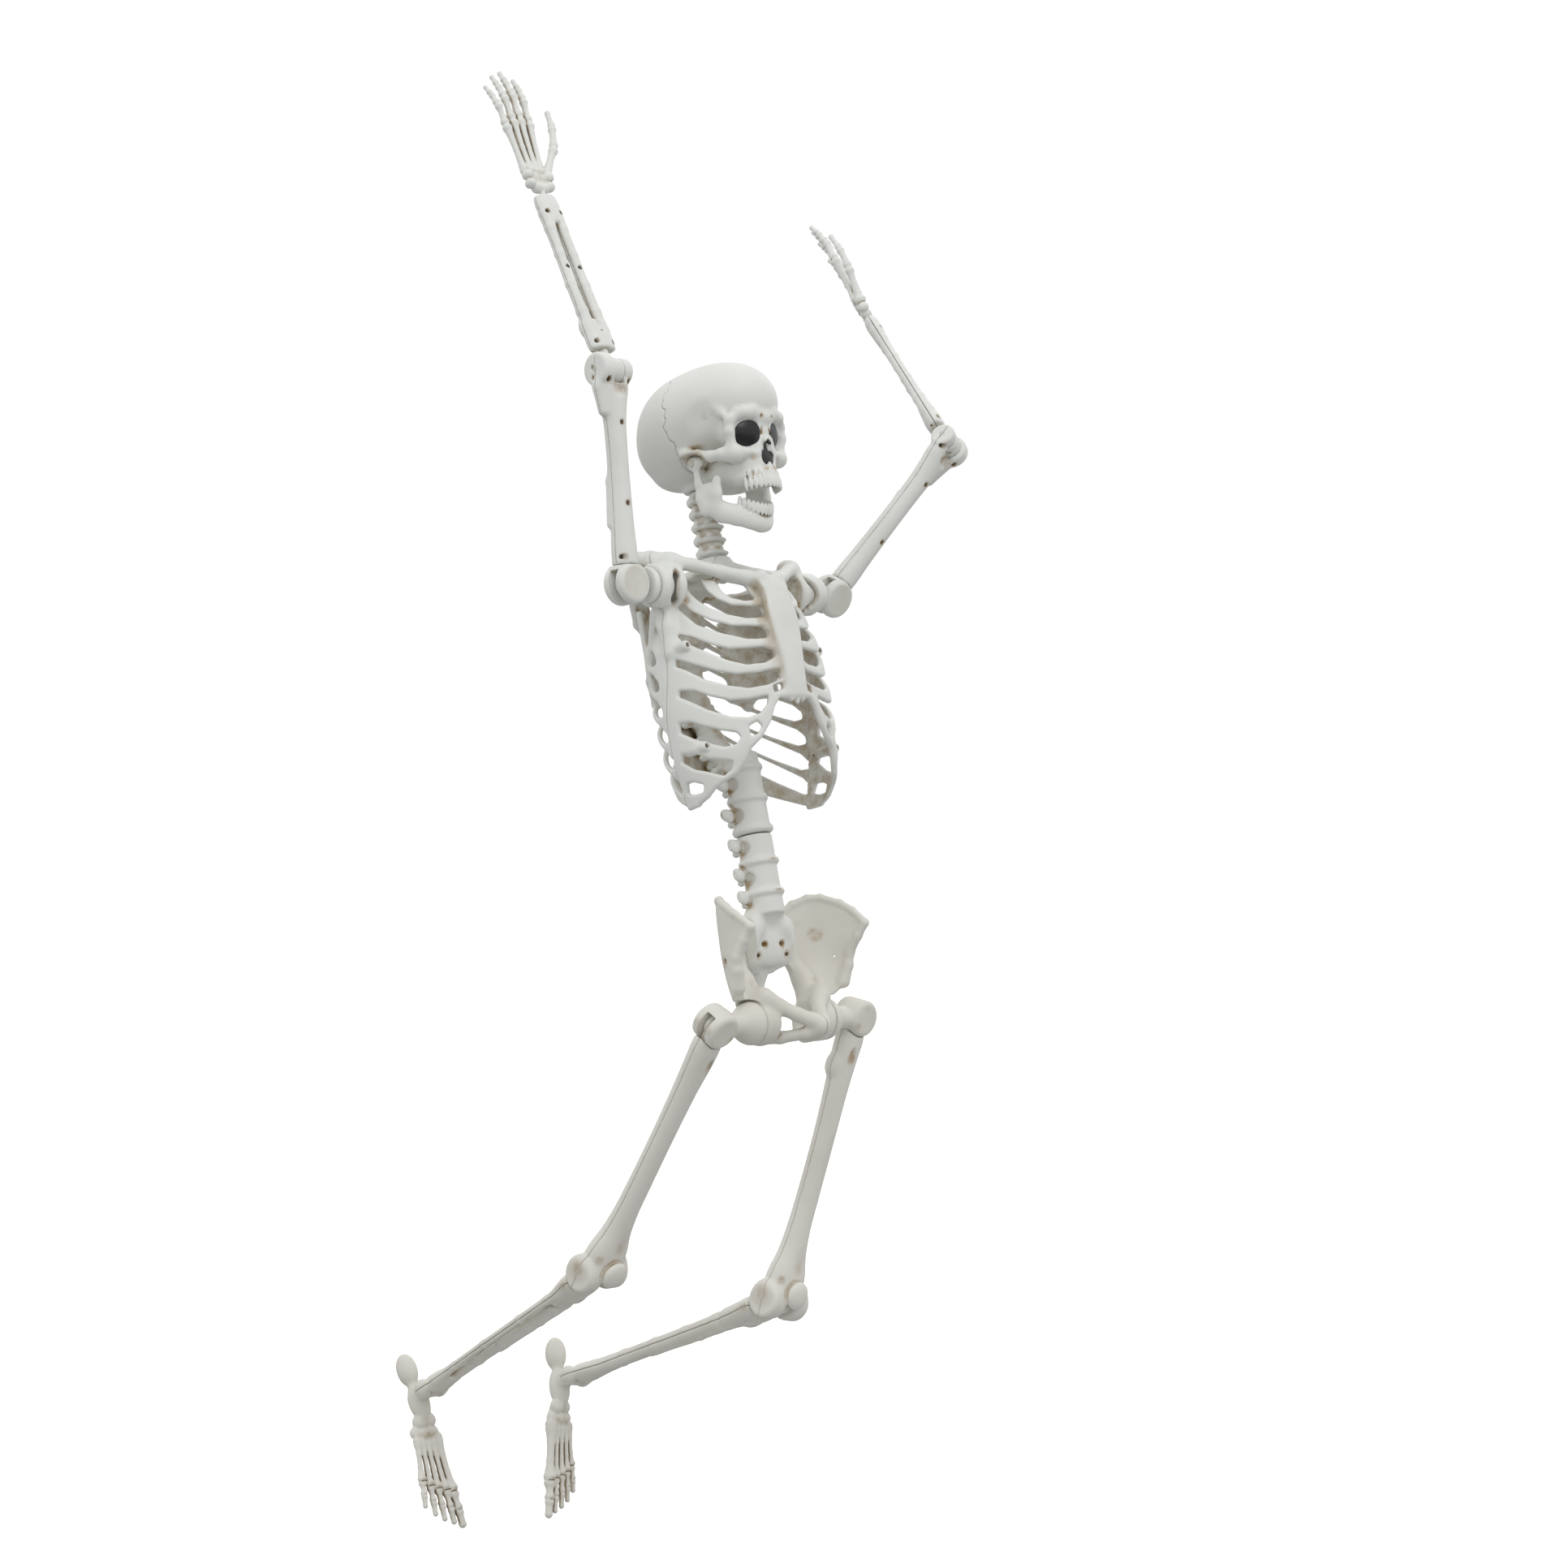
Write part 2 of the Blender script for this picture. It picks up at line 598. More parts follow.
def make_skull():
    c = Clay((-76, -142, -36), (76, 76, 156), 1.25)
    c.add(egg((0, -3, 71), (66, 66, 65)))
    c.add(egg((0, -25, 80), (64, 69, 61)), 14)
    c.add(egg((0, -62, 86), (59, 64, 52)), 18)
    c.add(egg((0, 22, 58), (50, 42, 43)), 12)
    c.add(egg((0, 10, 28), (38, 42, 20)), 10)
    c.add(drum("z", 0.6, 24, 20, 0, 0, 3), 6)
    c.add(egg((0, -88, 44), (45, 28, 30)), 10)
    c.add(egg((0, -60, 4), (36, 44, 22)), 8)
    c.add(egg((0, -84, 8), (30, 29, 26)), 10)
    c.add(egg((0, -88, -10), (28.5, 27, 13)), 6)
    for s in (-1, 1):
        c.carve(egg((s * 69, -84, 58), (13, 28, 24), ("Z", s * 12)), 12)
        c.carve(egg((s * 46, -76, -3), (13, 32, 13)), 8)
        c.path([(s * 3, -112.5, 58, 8), (s * 18, -112.5, 63, 7.5), (s * 34, -108, 62, 7),
                (s * 45, -100, 54, 6.2), (s * 46.5, -98, 40, 5.8), (s * 43.5, -95, 26, 6.2)], 6, 4)
        c.path([(s * 47, -92, 64, 4), (s * 47, -80, 82, 3)], 7)
        c.add(egg((s * 38, -93, 15), (11, 12, 10)), 6)
        c.path([(s * 24, -102, 16.5, 6), (s * 37, -97, 16.5, 6.5)], 5)
        c.path([(s * 42, -92, 16, 7.5), (s * 49, -82, 17, 6.8), (s * 52, -68, 19, 6.2), (s * 53, -50, 27, 5),
                (s * 52, -28, 34, 6)], 9, 4)
        c.path([(s * 8, -107, 44, 5), (s * 9.5, -108, 30, 5.6), (s * 13, -106, 14, 6.5)], 4, 3)
        c.add(rod((s * 30, -36, 20), (s * 42, -36, 20), 6), 2)
    c.path([(0, -112, 55, 6.5), (0, -107, 40, 4.6), (0, -112, 31, 4.4), (0, -117.5, 24.5, 3.4)], 3, 2)
    skin, sockets = c.copy(), c.blank()
    for s in (-1, 1):
        sockets.add(egg((s * EYE[0], EYE[1] - 8, EYE[2]), (17.4, 30, 16), [("Z", s * 15), ("Y", s * 12)]))
        sockets.add(egg((s * 23, -120, 41), (14, 22, 13)), 2)
        sockets.add(egg((s * 5.4, -124, 9), (6.4, 24, 11), ("Y", s * 10)), 1)
    sockets.add(egg((0, -126, 17), (5.2, 24, 14)), 1.5)
    c.d = -soft_min(-c.d, sockets.d, 1.6)
    for s in (-1, 1):
        c.carve(egg((s * 61, -41, 16), (17, 20, 14), ("X", 12)), 1.5)
        c.carve(drum("x", s * 43, s * 54, 9.5, -36, 20, 1), 1)
        c.carve(egg((s * 48.5, -42, 19), (6.5, 17, 10)), 1)
        c.carve(egg((s * 22, -112, 9), (2.4, 6, 3.2)), 1.5)
        c.carve(egg((s * 9, -122, 57), (1.7, 5, 1.7)), 1.2)
        c.carve(egg((s * 7, -115, 40), (1.2, 4, 6), ("Y", -s * 10)), 2)
        for n in range(5):
            turn = math.radians(14 + 15 * n)
            x, y = s * 26 * math.sin(turn), -88 - 27.4 * math.cos(turn)
            c.carve(egg((x, y, -10), (1.1, 1.6, 5.5)), 1.6)
        c.carve(egg((s * 40, -92, -5), (9, 12, 8)), 5)
    c.path([(0, -112, 1, 1.8), (0, -114, -4, 1.6)], 2.5)
    for n in range(TEETH):
        turn = tooth_turn(n)
        x, y = 26 * math.sin(turn), -87 - 27.5 * math.cos(turn)
        wide = 3.3 if abs(n - MIDDLE) < 1 else 2.9
        deep = 2.6 if abs(n - MIDDLE) < 4 else 3.8
        c.add(egg((x, y, -20.5), (wide, deep, 8.6), ("Z", math.degrees(turn))), 0.5)
    c.carve(egg((0, -70, -26), (21, 33, 12)), 3)
    c.carve(drum("z", -4, 11.6, 7.1, 0, 0, 0.1), 0.2)
    c.carve(drum("z", 11.4, 30, 12.2, 0, 0, 0.5), 0.2)
    for sx in (-36, 36):
        c.carve(drum("y", 12.2, 80, 3.0, sx, 82, 0.2), 0.8)
    stains = []
    for s in (-1, 1):
        stains += [((s * 58, -72, 66), 8, 0.8), ((s * 56, -76, 52), 6, 0.45), ((s * 54, -72, 38), 7, 0.55),
                   ((s * 22, -108, 9), 6, 1.1), ((s * 7, -112, 40), 5, 0.9), ((s * 36, -110, 68), 9, 0.4),
                   ((s * 9, -119, 57), 4, 0.9), ((s * 42, -84, -2), 14, 0.45), ((s * 8, -112, -4), 6, 0.8),
                   ((s * 50, -40, 15), (17, 23, 18), 3.2), ((s * 52, -80, 66), 7, 0.35)]
    split_halves("skull", c, skull, "skull", "", BONE, stains, wave=seam_wave)

    # black inserts: the skin drawn in a little and cut to the sockets, down to a flat back
    inserts = skin
    inserts.d = np.maximum(skin.d + 1.3, sockets.d - 0.9)
    inserts.keep(skin.grid()[1] + 84, 1)
    fire("visible_face_inserts", inserts, skull, "skull", ["face_inserts"], BLACK)


def make_jaw():
    c = Clay((-56, -90, -90), (56, 14, 12), 1.05)
    for s in (-1, 1):
        c.add(drum("x", s * 43.6, s * 49.8, 7.8, 0, 0, 2))
        c.add(egg((s * 46.8, -5, 0.5), (4.4, 10, 7.2)), 2)
        c.path([(s * 46.4, -4, -8, 4.4), (s * 45.6, -6, -24, 5), (s * 45, -7.5, -42, 5.6),
                (s * 44, -13, -57, 6)], 4, 3, (1, 0, 0), 0.75)
        c.path([(s * 44, -33, -22, 5.2), (s * 44, -31, -38, 7), (s * 43, -28, -52, 7.5)], 4, 3, (1, 0, 0),
               0.7)
        c.add(egg((s * 44.4, -21, -42), (3.6, 17, 18)), 4)
        c.path([(s * 43, -19, -55, 8), (s * 37, -34, -60.5, 11)], 5, 5, (1, -0.2 * s, 0), 0.62)
        c.path([(s * 37, -34, -60.5, 11), (s * 26, -47, -64.5, 11), (s * 14, -57, -68.5, 11.2)], 5, 5,
               (1, -0.9 * s, 0), 0.6)
        c.path([(s * 14, -57, -68.5, 11.2), (0, -60, -70.5, 11.6)], 5, 5, (0.25, -s, 0), 0.6)
        c.carve(egg((s * 24, -63, -68), (1.8, 3, 1.6)), 1)
        c.carve(egg((s * 40, -21, -36), (3.6, 10, 12)), 4)
    c.add(egg((0, -60.5, -75.5), (14, 6, 6.5)), 6)
    c.carve(egg((0, -74, -64), (18, 5, 4)), 4)
    c.carve(egg((0, -27, -72), (20, 23, 30)), 5)
    for n in range(TEETH):
        turn = tooth_turn(n)
        x, y = 25 * math.sin(turn), -45 - 26 * math.cos(turn)
        top = -39.5 - 11.5 * max(math.cos(turn), 0)
        deep = 2.4 if abs(n - MIDDLE) < 4 else 3.4
        c.add(egg((x, y, top - 8), (2.9, deep, 8), ("Z", math.degrees(turn))), 0.5)
    for s in (-1, 1):
        c.carve(drum("x", s * 42, s * 52, 2.6, 0, 0, 0.1), 0.1)
    stains = [((s * 45, -12, -52), 9, 0.35) for s in (-1, 1)] + [((0, -71, -60), 8, 0.4)]
    stains += [((s * 22, -58, -57), 9, 0.4) for s in (-1, 1)]
    fire("visible_jaw", c, jaw, "jaw", ["jaw"], BONE, stains)


# ------------------------------------------------------------------ spine

NECK_RINGS = [9.5 + 16.2 * n for n in range(5)]


def make_neck():
    c = Clay((-32, -26, -20), (32, 34, 104), 1.0)
    c.add(drum("z", -0.4, 84, 13.6, 0, 0, 1.5))
    for n, z in enumerate(NECK_RINGS):
        wave = 0.6 * math.sin(n * 2.1)
        c.add(drum("z", z - 6.4, z + 5.6, 15.4 + wave, 0, 0, 3.4), 2.5)
        c.add(drum("z", z - 6.4, z - 2.8, 17.4 + wave, 0, -0.6, 1.7), 2.5)
        c.add(egg((0, -8.5, z - 4), (17, 11.5, 3.6)), 2)
        c.carve(egg((0, -17.5, z + 2.6), (9, 3, 2.4)), 2)
        for s in (-1, 1):
            c.path([(s * 12, -1, z - 2, 4.6), (s * 18.5, -2, z - 3.4, 3.9)], 2.6)
            c.path([(s * 8, 8, z, 5), (s * 11, 10, z - 1, 4.0)], 3)
            c.carve(egg((s * 15.5, -7, z + 3.4), (3.4, 5, 2.2)), 2)
            c.carve(egg((s * 8.5, -15.5, z - 0.4), (3.6, 2.4, 1.2)), 1.5)
        c.path([(0, 10, z, 4.4), (0, 16, z - 3, 3.0)], 3)
    x, y, z = c.grid()
    c.keep(np.maximum(z - 84, -0.4 - z), 1)
    c.add(drum("z", -9, 1, 8.95, 0, 0, 0.4)).add(drum("z", -17, -8.4, 13.4, 0, 0, 0.8))
    c.add(drum("z", 83, 96.5, 6.95, 0, 0, 0.4)).add(drum("z", 96, 101, 10.9, 0, 0, 0.8))
    stains = [((0, -16, ring + 2), (12, 5, 3.5), 1.0) for ring in NECK_RINGS]
    stains += [((s * 15, -6, ring + 3.5), 6, 0.8) for ring in NECK_RINGS for s in (-1, 1)]
    fire("visible_neck", c, neck, "neck", ["neck"], BONE, stains)


# ------------------------------------------------------------------ rib cage

CHEST_LOW, CHEST_HIGH = (-140, -106, -312), (140, 92, 22)
CHEST_AXIS = (0, -6, 0)
# barrel of the chest: (height, half width, half depth)
CHEST_STATIONS = [(-302, 107, 72), (-250, 120, 83.6), (-190, 124, 88), (-120, 120, 84.5), (-60, 99, 72),
                  (-22, 64.5, 53)]
# openings of one front quarter: (degrees from the breastbone, height) corners
FRONT_GAPS = [[(43, -43), (33, -48), (19, -53), (14, -71), (22, -72), (32, -67), (38, -58)],
              [(98, -18), (76, -27), (60, -39), (51, -58), (43, -70), (33, -79), (11, -83), (10, -94),
               (24, -94), (36, -88), (49, -77), (60, -63), (75, -41)],
              [(87, -49), (63, -81), (50, -95), (35, -105), (14, -108), (11, -115), (12, -121), (27, -120),
               (43, -110), (60, -95), (73, -75), (83, -57)], [(75, -105), (63, -113), (51, -125), (40, -133),
                                                              (28, -134), (16, -133), (10, -137), (9, -144),
                                                              (18, -150), (30, -151), (41, -144), (52, -133),
                                                              (63, -121), (72, -111)],
              [(78, -134), (65, -145), (51, -157), (38, -164), (24, -164), (8, -159), (9, -171), (20, -177),
               (32, -179), (45, -173), (59, -162), (72, -146), (79, -140)],
              [(79, -171), (68, -175), (58, -185), (45, -194), (33, -195), (21, -192), (22, -200),
               (27, -209), (35, -213), (46, -210), (60, -198), (72, -184), (80, -176)],
              [(15, -180), (8, -176), (9, -183), (15, -186)], [(84, -208), (75, -210), (66, -218),
                                                               (55, -226), (45, -231), (43, -236),
                                                               (46, -242), (54, -243), (64, -236),
                                                               (74, -228), (85, -217)],
              [(35, -225), (30, -221), (28, -226), (31, -233), (35, -235)],
              [(88, -243), (77, -246), (67, -256), (57, -260), (51, -263), (53, -270), (59, -275),
               (69, -268), (81, -261), (90, -250)], [(93, -276), (86, -277), (78, -282), (80, -288),
                                                     (90, -288), (96, -285)], ]
# opening under the ribs, from the breastbone round to the side
ARCH = [(-6, -197), (4, -196), (12, -195), (16, -204), (20, -221), (28, -240), (36, -251), (41, -265),
        (49, -278), (61, -285), (68, -290), (76, -298), (86, -303), (90, -330), (-6, -330)]
# seam between the shells at the side: (height, y)
SEAM_LINE = [(-310, 13), (-283, 11), (-209, 5), (-160, -7), (-115, -14), (-84, -17), (22, -17)]


def polygon_distance(px, pz, corners):
    """Signed distance to a polygon, negative inside."""
    corners = np.asarray(corners, float)
    best = np.full(px.shape, 1e9)
    inside = np.zeros(px.shape, bool)
    for (ax, az), (bx, bz) in zip(corners, np.roll(corners, -1, axis=0)):
        ex, ez = bx - ax, bz - az
        t = np.clip(((px - ax) * ex + (pz - az) * ez) / (ex * ex + ez * ez), 0, 1)
        best = np.minimum(best, (px - ax - t * ex) ** 2 + (pz - az - t * ez) ** 2)
        cross = (az > pz) != (bz > pz)
        with np.errstate(divide="ignore", invalid="ignore"):
            hit = px < ax + (pz - az) * ex / ez
        inside ^= cross & hit
    best = np.sqrt(best)
    return np.where(inside, -best, best)


# length round the widest chest section, degree by degree from the breastbone to the spine
DEGREES = np.arange(0, 181)
MID_TURN = np.radians(DEGREES[:-1] + 0.5)
ARC_STEPS = np.hypot(124 * np.cos(MID_TURN), 88 * np.sin(MID_TURN)) * np.radians(1.0)
ARC_LENGTH = np.concatenate([[0], np.cumsum(ARC_STEPS)])


def arc(degrees):
    return np.interp(degrees, DEGREES, ARC_LENGTH)


# spacing of the flat maps that hold outlines
MAP_STEP = 1.5
# ends and width of a gap between two ribs at the back: (share of its length, half width)
REAR_GAP = ((0, 4), (0.08, 8.6), (0.35, 10.2), (0.65, 10.2), (0.92, 8.6), (1, 3))


def gap_map(rear=False):
    """Distance to the nearest opening over (arc length, height) for one side."""
    s = np.arange(-8, 350, MAP_STEP)
    h = np.arange(-330, 0, MAP_STEP)
    ps, ph = np.meshgrid(s, h, indexing="ij")
    best = np.full(ps.shape, EMPTY)
    if rear:
        for n in range(9):
            mid, drop = -40 - 27 * n, 54 + 4.0 * n
            spine_s, rail_s = arc(167), arc(101)
            outline = [(t, half) for t, half in REAR_GAP] + [(t, -half) for t, half in REAR_GAP[::-1]]
            corners = [(spine_s + (rail_s - spine_s) * t, mid + half - drop * t) for t, half in outline]
            if mid - drop > -300:
                best = np.minimum(best, polygon_distance(ps, ph, corners))
    else:
        for corners in FRONT_GAPS:
            best = np.minimum(best, polygon_distance(ps, ph, [(arc(a), z) for a, z in corners]))
        low = [(arc(a) if a > 0 else -40, z) for a, z in ARCH]
        best = np.minimum(best, polygon_distance(ps, ph, low))
    return s, h, best


def look_up(table, s, h):
    """Values of a flat map at positions (s, h), by bilinear interpolation."""
    gs, gh, best = table
    i = np.clip((s - gs[0]) / MAP_STEP, 0, len(gs) - 1.001)
    j = np.clip((h - gh[0]) / MAP_STEP, 0, len(gh) - 1.001)
    i0, j0 = i.astype(np.int32), j.astype(np.int32)
    fi, fj = (i - i0).astype(np.float32), (j - j0).astype(np.float32)
    b = best.astype(np.float32)
    low = b[i0, j0] * (1 - fi) + b[i0 + 1, j0] * fi
    high = b[i0, j0 + 1] * (1 - fi) + b[i0 + 1, j0 + 1] * fi
    return low * (1 - fj) + high * fj


# y of the flat faces where the screw bosses of the two shells meet
SEAM_Y = -17.0
# screw bosses beside the chest: (distance out, height)
CHEST_BOSSES = ((113, -120), (111, -240))


def neck_socket(shell):
    """Half of the round socket that holds the flange at the foot of the neck."""
    shell.add(drum("z", -20, -0.6, 22, 0, 0, 3), 6)
    shell.carve(drum("z", -8, 6, 9.1, 0, 0, 0.1), 0.2)
    shell.carve(drum("z", -18, -7.9, 14.1, 0, 0, 0.3), 0.2)


def chest_shell(c, wall):
    """Distance to the barrel wall and the (arc length, height) position on it."""
    x, y, z = c.grid()
    zs = np.ravel(z)
    rows = np.array(sorted(CHEST_STATIONS), float)
    rx = np.interp(zs, rows[:, 0], rows[:, 1])
    ry = np.interp(zs, rows[:, 0], rows[:, 2])
    kernel = np.ones(15) / 15
    rx = np.convolve(np.pad(rx, 7, mode="edge"), kernel, "valid")
    ry = np.convolve(np.pad(ry, 7, mode="edge"), kernel, "valid")
    rx, ry = rx.astype(np.float32)[None, None, :], ry.astype(np.float32)[None, None, :]
    fy = CHEST_AXIS[1] - y
    k0 = np.sqrt((x / rx) ** 2 + (fy / ry) ** 2)
    k1 = np.sqrt((x / rx ** 2) ** 2 + (fy / ry ** 2) ** 2)
    d = k0 * (k0 - 1) / np.maximum(k1, 1e-5)
    turn = np.degrees(np.arctan2(np.abs(x) / rx, fy / ry))
    s = np.interp(turn, DEGREES, ARC_LENGTH).astype(np.float32)
    h = np.broadcast_to(z, s.shape)
    return np.abs(d + wall / 2) - wall / 2, s, h


def round_both(a, b, r):
    """Intersection of two fields with edges rounded to radius r."""
    u, v = np.maximum(a + r, 0), np.maximum(b + r, 0)
    return np.minimum(np.maximum(a, b), -r) + np.sqrt(u * u + v * v)


def seam_at(z):
    """Where the seam between front and rear shell runs, height by height."""
    line = np.array(SEAM_LINE, float)
    soft = np.interp(np.ravel(z), line[:, 0], line[:, 1])
    kernel = np.ones(13) / 13
    soft = np.convolve(np.pad(soft, 6, mode="edge"), kernel, "valid")
    return soft.astype(np.float32)[None, None, :]


def shoulder_cup(c, s):
    """Socket on the rib cage for one shoulder hub."""
    x0, x1 = 98, 136.6
    cy, cz = -22, -44
    scallops = 9
    c.add(drum("x", s * x0, s * x1, 25.8, cy, cz, 5), 9)
    c.path([(s * 100, -26, -14, 9.5), (s * 116, -10, -10, 11), (s * 127, 0, -8, 9)], 9, 5)
    c.path([(s * 104, -8, -62, 14), (s * 112, -14, -92, 11), (s * 116, -16, -122, 8)], 8, 6)
    c.carve(drum("x", s * 104, s * 128.8, 19.1, cy, cz, 1), 0.8)
    c.carve(drum("x", s * 128, s * 146, 13.1, cy, cz, 0.2), 0.6)
    for n in range(scallops):
        t = n / (scallops - 1)
        a = math.radians(62 + 96 * t)
        px = s * (119 - 9 * abs(2 * t - 1) ** 2)
        py, pz = cy - 25 * math.sin(a), cz + 25 * math.cos(a)
        grow = 3.0 + 3.2 * math.sin(math.pi * t)
        c.carve(egg((px, py, pz), (grow, 7, 7)), 2.2)


def make_rib_front():
    front = Clay(CHEST_LOW, (140, 22, 22), 1.6)
    shell, s, h = chest_shell(front, 7.0)
    gaps = look_up(gap_map(), s, h)
    field = round_both(shell, 1.2 - gaps, 3.1)
    x, y, z = front.grid()
    brim = z + 50 - 20 * np.minimum(np.abs(x) / 104, 1)
    field = round_both(field, np.broadcast_to(-304 - z, field.shape), 3)
    field = round_both(field, np.broadcast_to(brim, field.shape), 3)
    front.d = np.minimum(front.d, field.astype(np.float32))
    del shell, s, h, gaps, field
    # breastbone with notched end, collar bones and their ends
    front.add(shaft([(-44, 0, -79, 21, 8.5), (-54, 0, -84, 23, 8.5), (-68, 0, -88, 21, 7.5),
                     (-90, 0, -91.5, 24, 7), (-115, 0, -93, 23, 7), (-150, 0, -94, 18.5, 7),
                     (-180, 0, -93, 15.5, 6.5), (-194, 0, -92, 13, 5)], 4, 3.0), 8)
    for sx in (-8, 0, 8):
        front.path([(sx * 0.7, -93, -182, 5), (sx * 1.15, -92, -196 - (3 if sx == 0 else 0), 3.0)], 2)
    for sx in (-1, 1):
        front.path([(sx * 10, -80, -50, 9.4), (sx * 26, -72, -44, 8.4), (sx * 52, -58, -35, 7.6),
                    (sx * 80, -42, -23, 7.4), (sx * 104, -30, -16, 9)], 5, 4)
        front.add(egg((sx * 15, -83, -46), (9, 7, 8)), 4)
        shoulder_cup(front, sx)
        for out, up in CHEST_BOSSES:
            front.add(rod((sx * out, SEAM_Y - 21, up), (sx * out, SEAM_Y + 4, up), 6.2), 3)
        for out, up in CHEST_BOSSES:
            front.carve(drum("y", SEAM_Y - 60, SEAM_Y - 14.1, 2.9, sx * out, up, 0.2), 0.6)
    # webs from the neck socket to the collar bones
    for sx in (-1, 1):
        front.path([(sx * 13, -16, -13, 6), (sx * 34, -38, -26, 5), (sx * 50, -56, -34, 5)], 5, 4)
    neck_socket(front)
    front.keep(y - seam_at(z) + 0.3, 0.9)
    stains = [((sx * 40, -60, -50), (60, 20, 20), 0.2) for sx in (-1, 1)]
    stains += [((sx * 22, -86, -36), 9, 0.4) for sx in (-1, 1)] + [((0, -92, -190), (16, 8, 9), 0.5)]
    stains += [((sx * 117, -44, -50), (14, 14, 20), 0.45) for sx in (-1, 1)]
    fire("visible_rib_cage_front", front, torso, "torso", ["rib_cage_front"], BONE, stains,
         CHEST_AXIS)


def make_rib_rear():
    rear = Clay((CHEST_LOW[0], SEAM_Y - 4, CHEST_LOW[2]), CHEST_HIGH, 1.95)
    shell, s, h = chest_shell(rear, 6.5)
    gaps = look_up(gap_map(True), s, h)
    field = round_both(shell, 1.2 - gaps, 2.9)
    x, y, z = rear.grid()
    slant = np.clip((s - arc(98)) / (arc(176) - arc(98)), 0, 1) * 58
    field = round_both(field, slant - 304 - z, 3)
    field = round_both(field, np.broadcast_to(z + 34, field.shape), 3)
    rear.d = np.minimum(rear.d, field.astype(np.float32))
    del shell, s, h, gaps, field
    back_bone = [(0, 8, -18, 13), (0, 50, -34, 13), (0, 66, -90, 13), (0, 68, -150, 13), (0, 54, -210, 14.5),
                 (0, 26, -250, 17)]
    rear.path(back_bone, 6, 5)
    for p in along(back_bone, 12):
        rear.add(drum("z", p[2] - 6, p[2] + 6, 15.5, 0, p[1], 3), 3)
        rear.path([(0, p[1] + 10, p[2], 5.5), (0, p[1] + 24, p[2] - 8, 4)], 4)
        for sx in (-1, 1):
            rear.path([(sx * 10, p[1] + 6, p[2] + 2, 5), (sx * 28, p[1] + 6, p[2] - 2, 4.2)], 4)
    for sx in (-1, 1):
        shoulder_cup(rear, sx)
        # shoulder blade: thin plate with a spine that runs out to the shoulder tip
        rear.add(brick((sx * 82 - 31, 44, -158), (sx * 82 + 31, 51, -58), 3, ("Z", -sx * 32)), 6)
        rear.path([(sx * 116, -2, -72, 6), (sx * 96, 44, -140, 4.5), (sx * 78, 58, -164, 5),
                   (sx * 60, 66, -110, 4.5), (sx * 62, 62, -64, 5), (sx * 100, 30, -42, 6)], 5, 4)
        rear.path([(sx * 58, 68, -86, 4.5), (sx * 84, 58, -66, 6), (sx * 108, 34, -40, 8),
                   (sx * 122, 12, -14, 9), (sx * 127, -2, -6, 8.5)], 5, 4)
        rear.carve(egg((sx * 86, 62, -112), (18, 7, 26), ("Z", -sx * 32)), 5)
        for out, up in CHEST_BOSSES:
            rear.add(rod((sx * out, SEAM_Y - 4, up), (sx * out, SEAM_Y + 20, up), 6.2), 3)
    rear.path([(-64, 40, -34, 5), (-40, 56, -30, 5), (0, 58, -28, 6), (40, 56, -30, 5), (64, 40, -34, 5)], 5,
              5)
    for sx in (-1, 1):
        rear.path([(sx * 96, -4, -30, 5), (sx * 78, 24, -33, 5), (sx * 64, 40, -34, 5)], 5, 5)
    rear.add(brick((-30, -20, -20), (30, 50, -11), 3.5), 6)
    neck_socket(rear)
    rear.carve(drum("z", -330, -256, 25, 0, 14, 2), 1)
    rear.keep(seam_at(z) + 0.3 - y, 0.9)
    fire("visible_rib_cage_rear", rear, torso, "torso", ["rib_cage_rear"], BONE, (), CHEST_AXIS)


def lumbar_stack(c):
    for z in (-328, -291, -254):
        c.add(drum("z", z - 3.2, z + 3.2, 24.2, 0, 13.5, 2.8), 5)
    for z in (-309.5, -272.5):
        for s in (-1, 1):
            c.carve(egg((s * 20, 16, z), (4, 9, 8)), 4)
            c.path([(s * 14, 22, z + 2, 6), (s * 25, 23, z + 1, 7), (s * 31, 24, z + 3, 7)], 3, 3, (0, 1, 0),
                   0.62)
        c.path([(0, 28, z, 5.5), (0, 46, z - 4, 4.6)], 4)


def make_lumbar():
    c = Clay((-40, -18, -340), (40, 60, -232), 1.2)
    c.add(drum("z", -333.2, -232, 21.5, 0, 14, 2.5))
    lumbar_stack(c)
    x, y, z = c.grid()
    c.keep(np.maximum(-333.3 - z, z + 236), 1.2)
    c.carve(drum("z", -336, -321.9, 9.1, 0, 14, 0.1), 0.2)
    c.carve(drum("z", -322, -311.9, 14.1, 0, 14, 0.3), 0.2)
    stains = [((s * 20, 20, -308 + 26 * n), 8, 0.8) for s in (-1, 1) for n in range(3)]
    fire("visible_lumbar_spine", c, torso, "torso", ["lumbar_spine"], BONE, stains)


# ------------------------------------------------------------------ pelvis

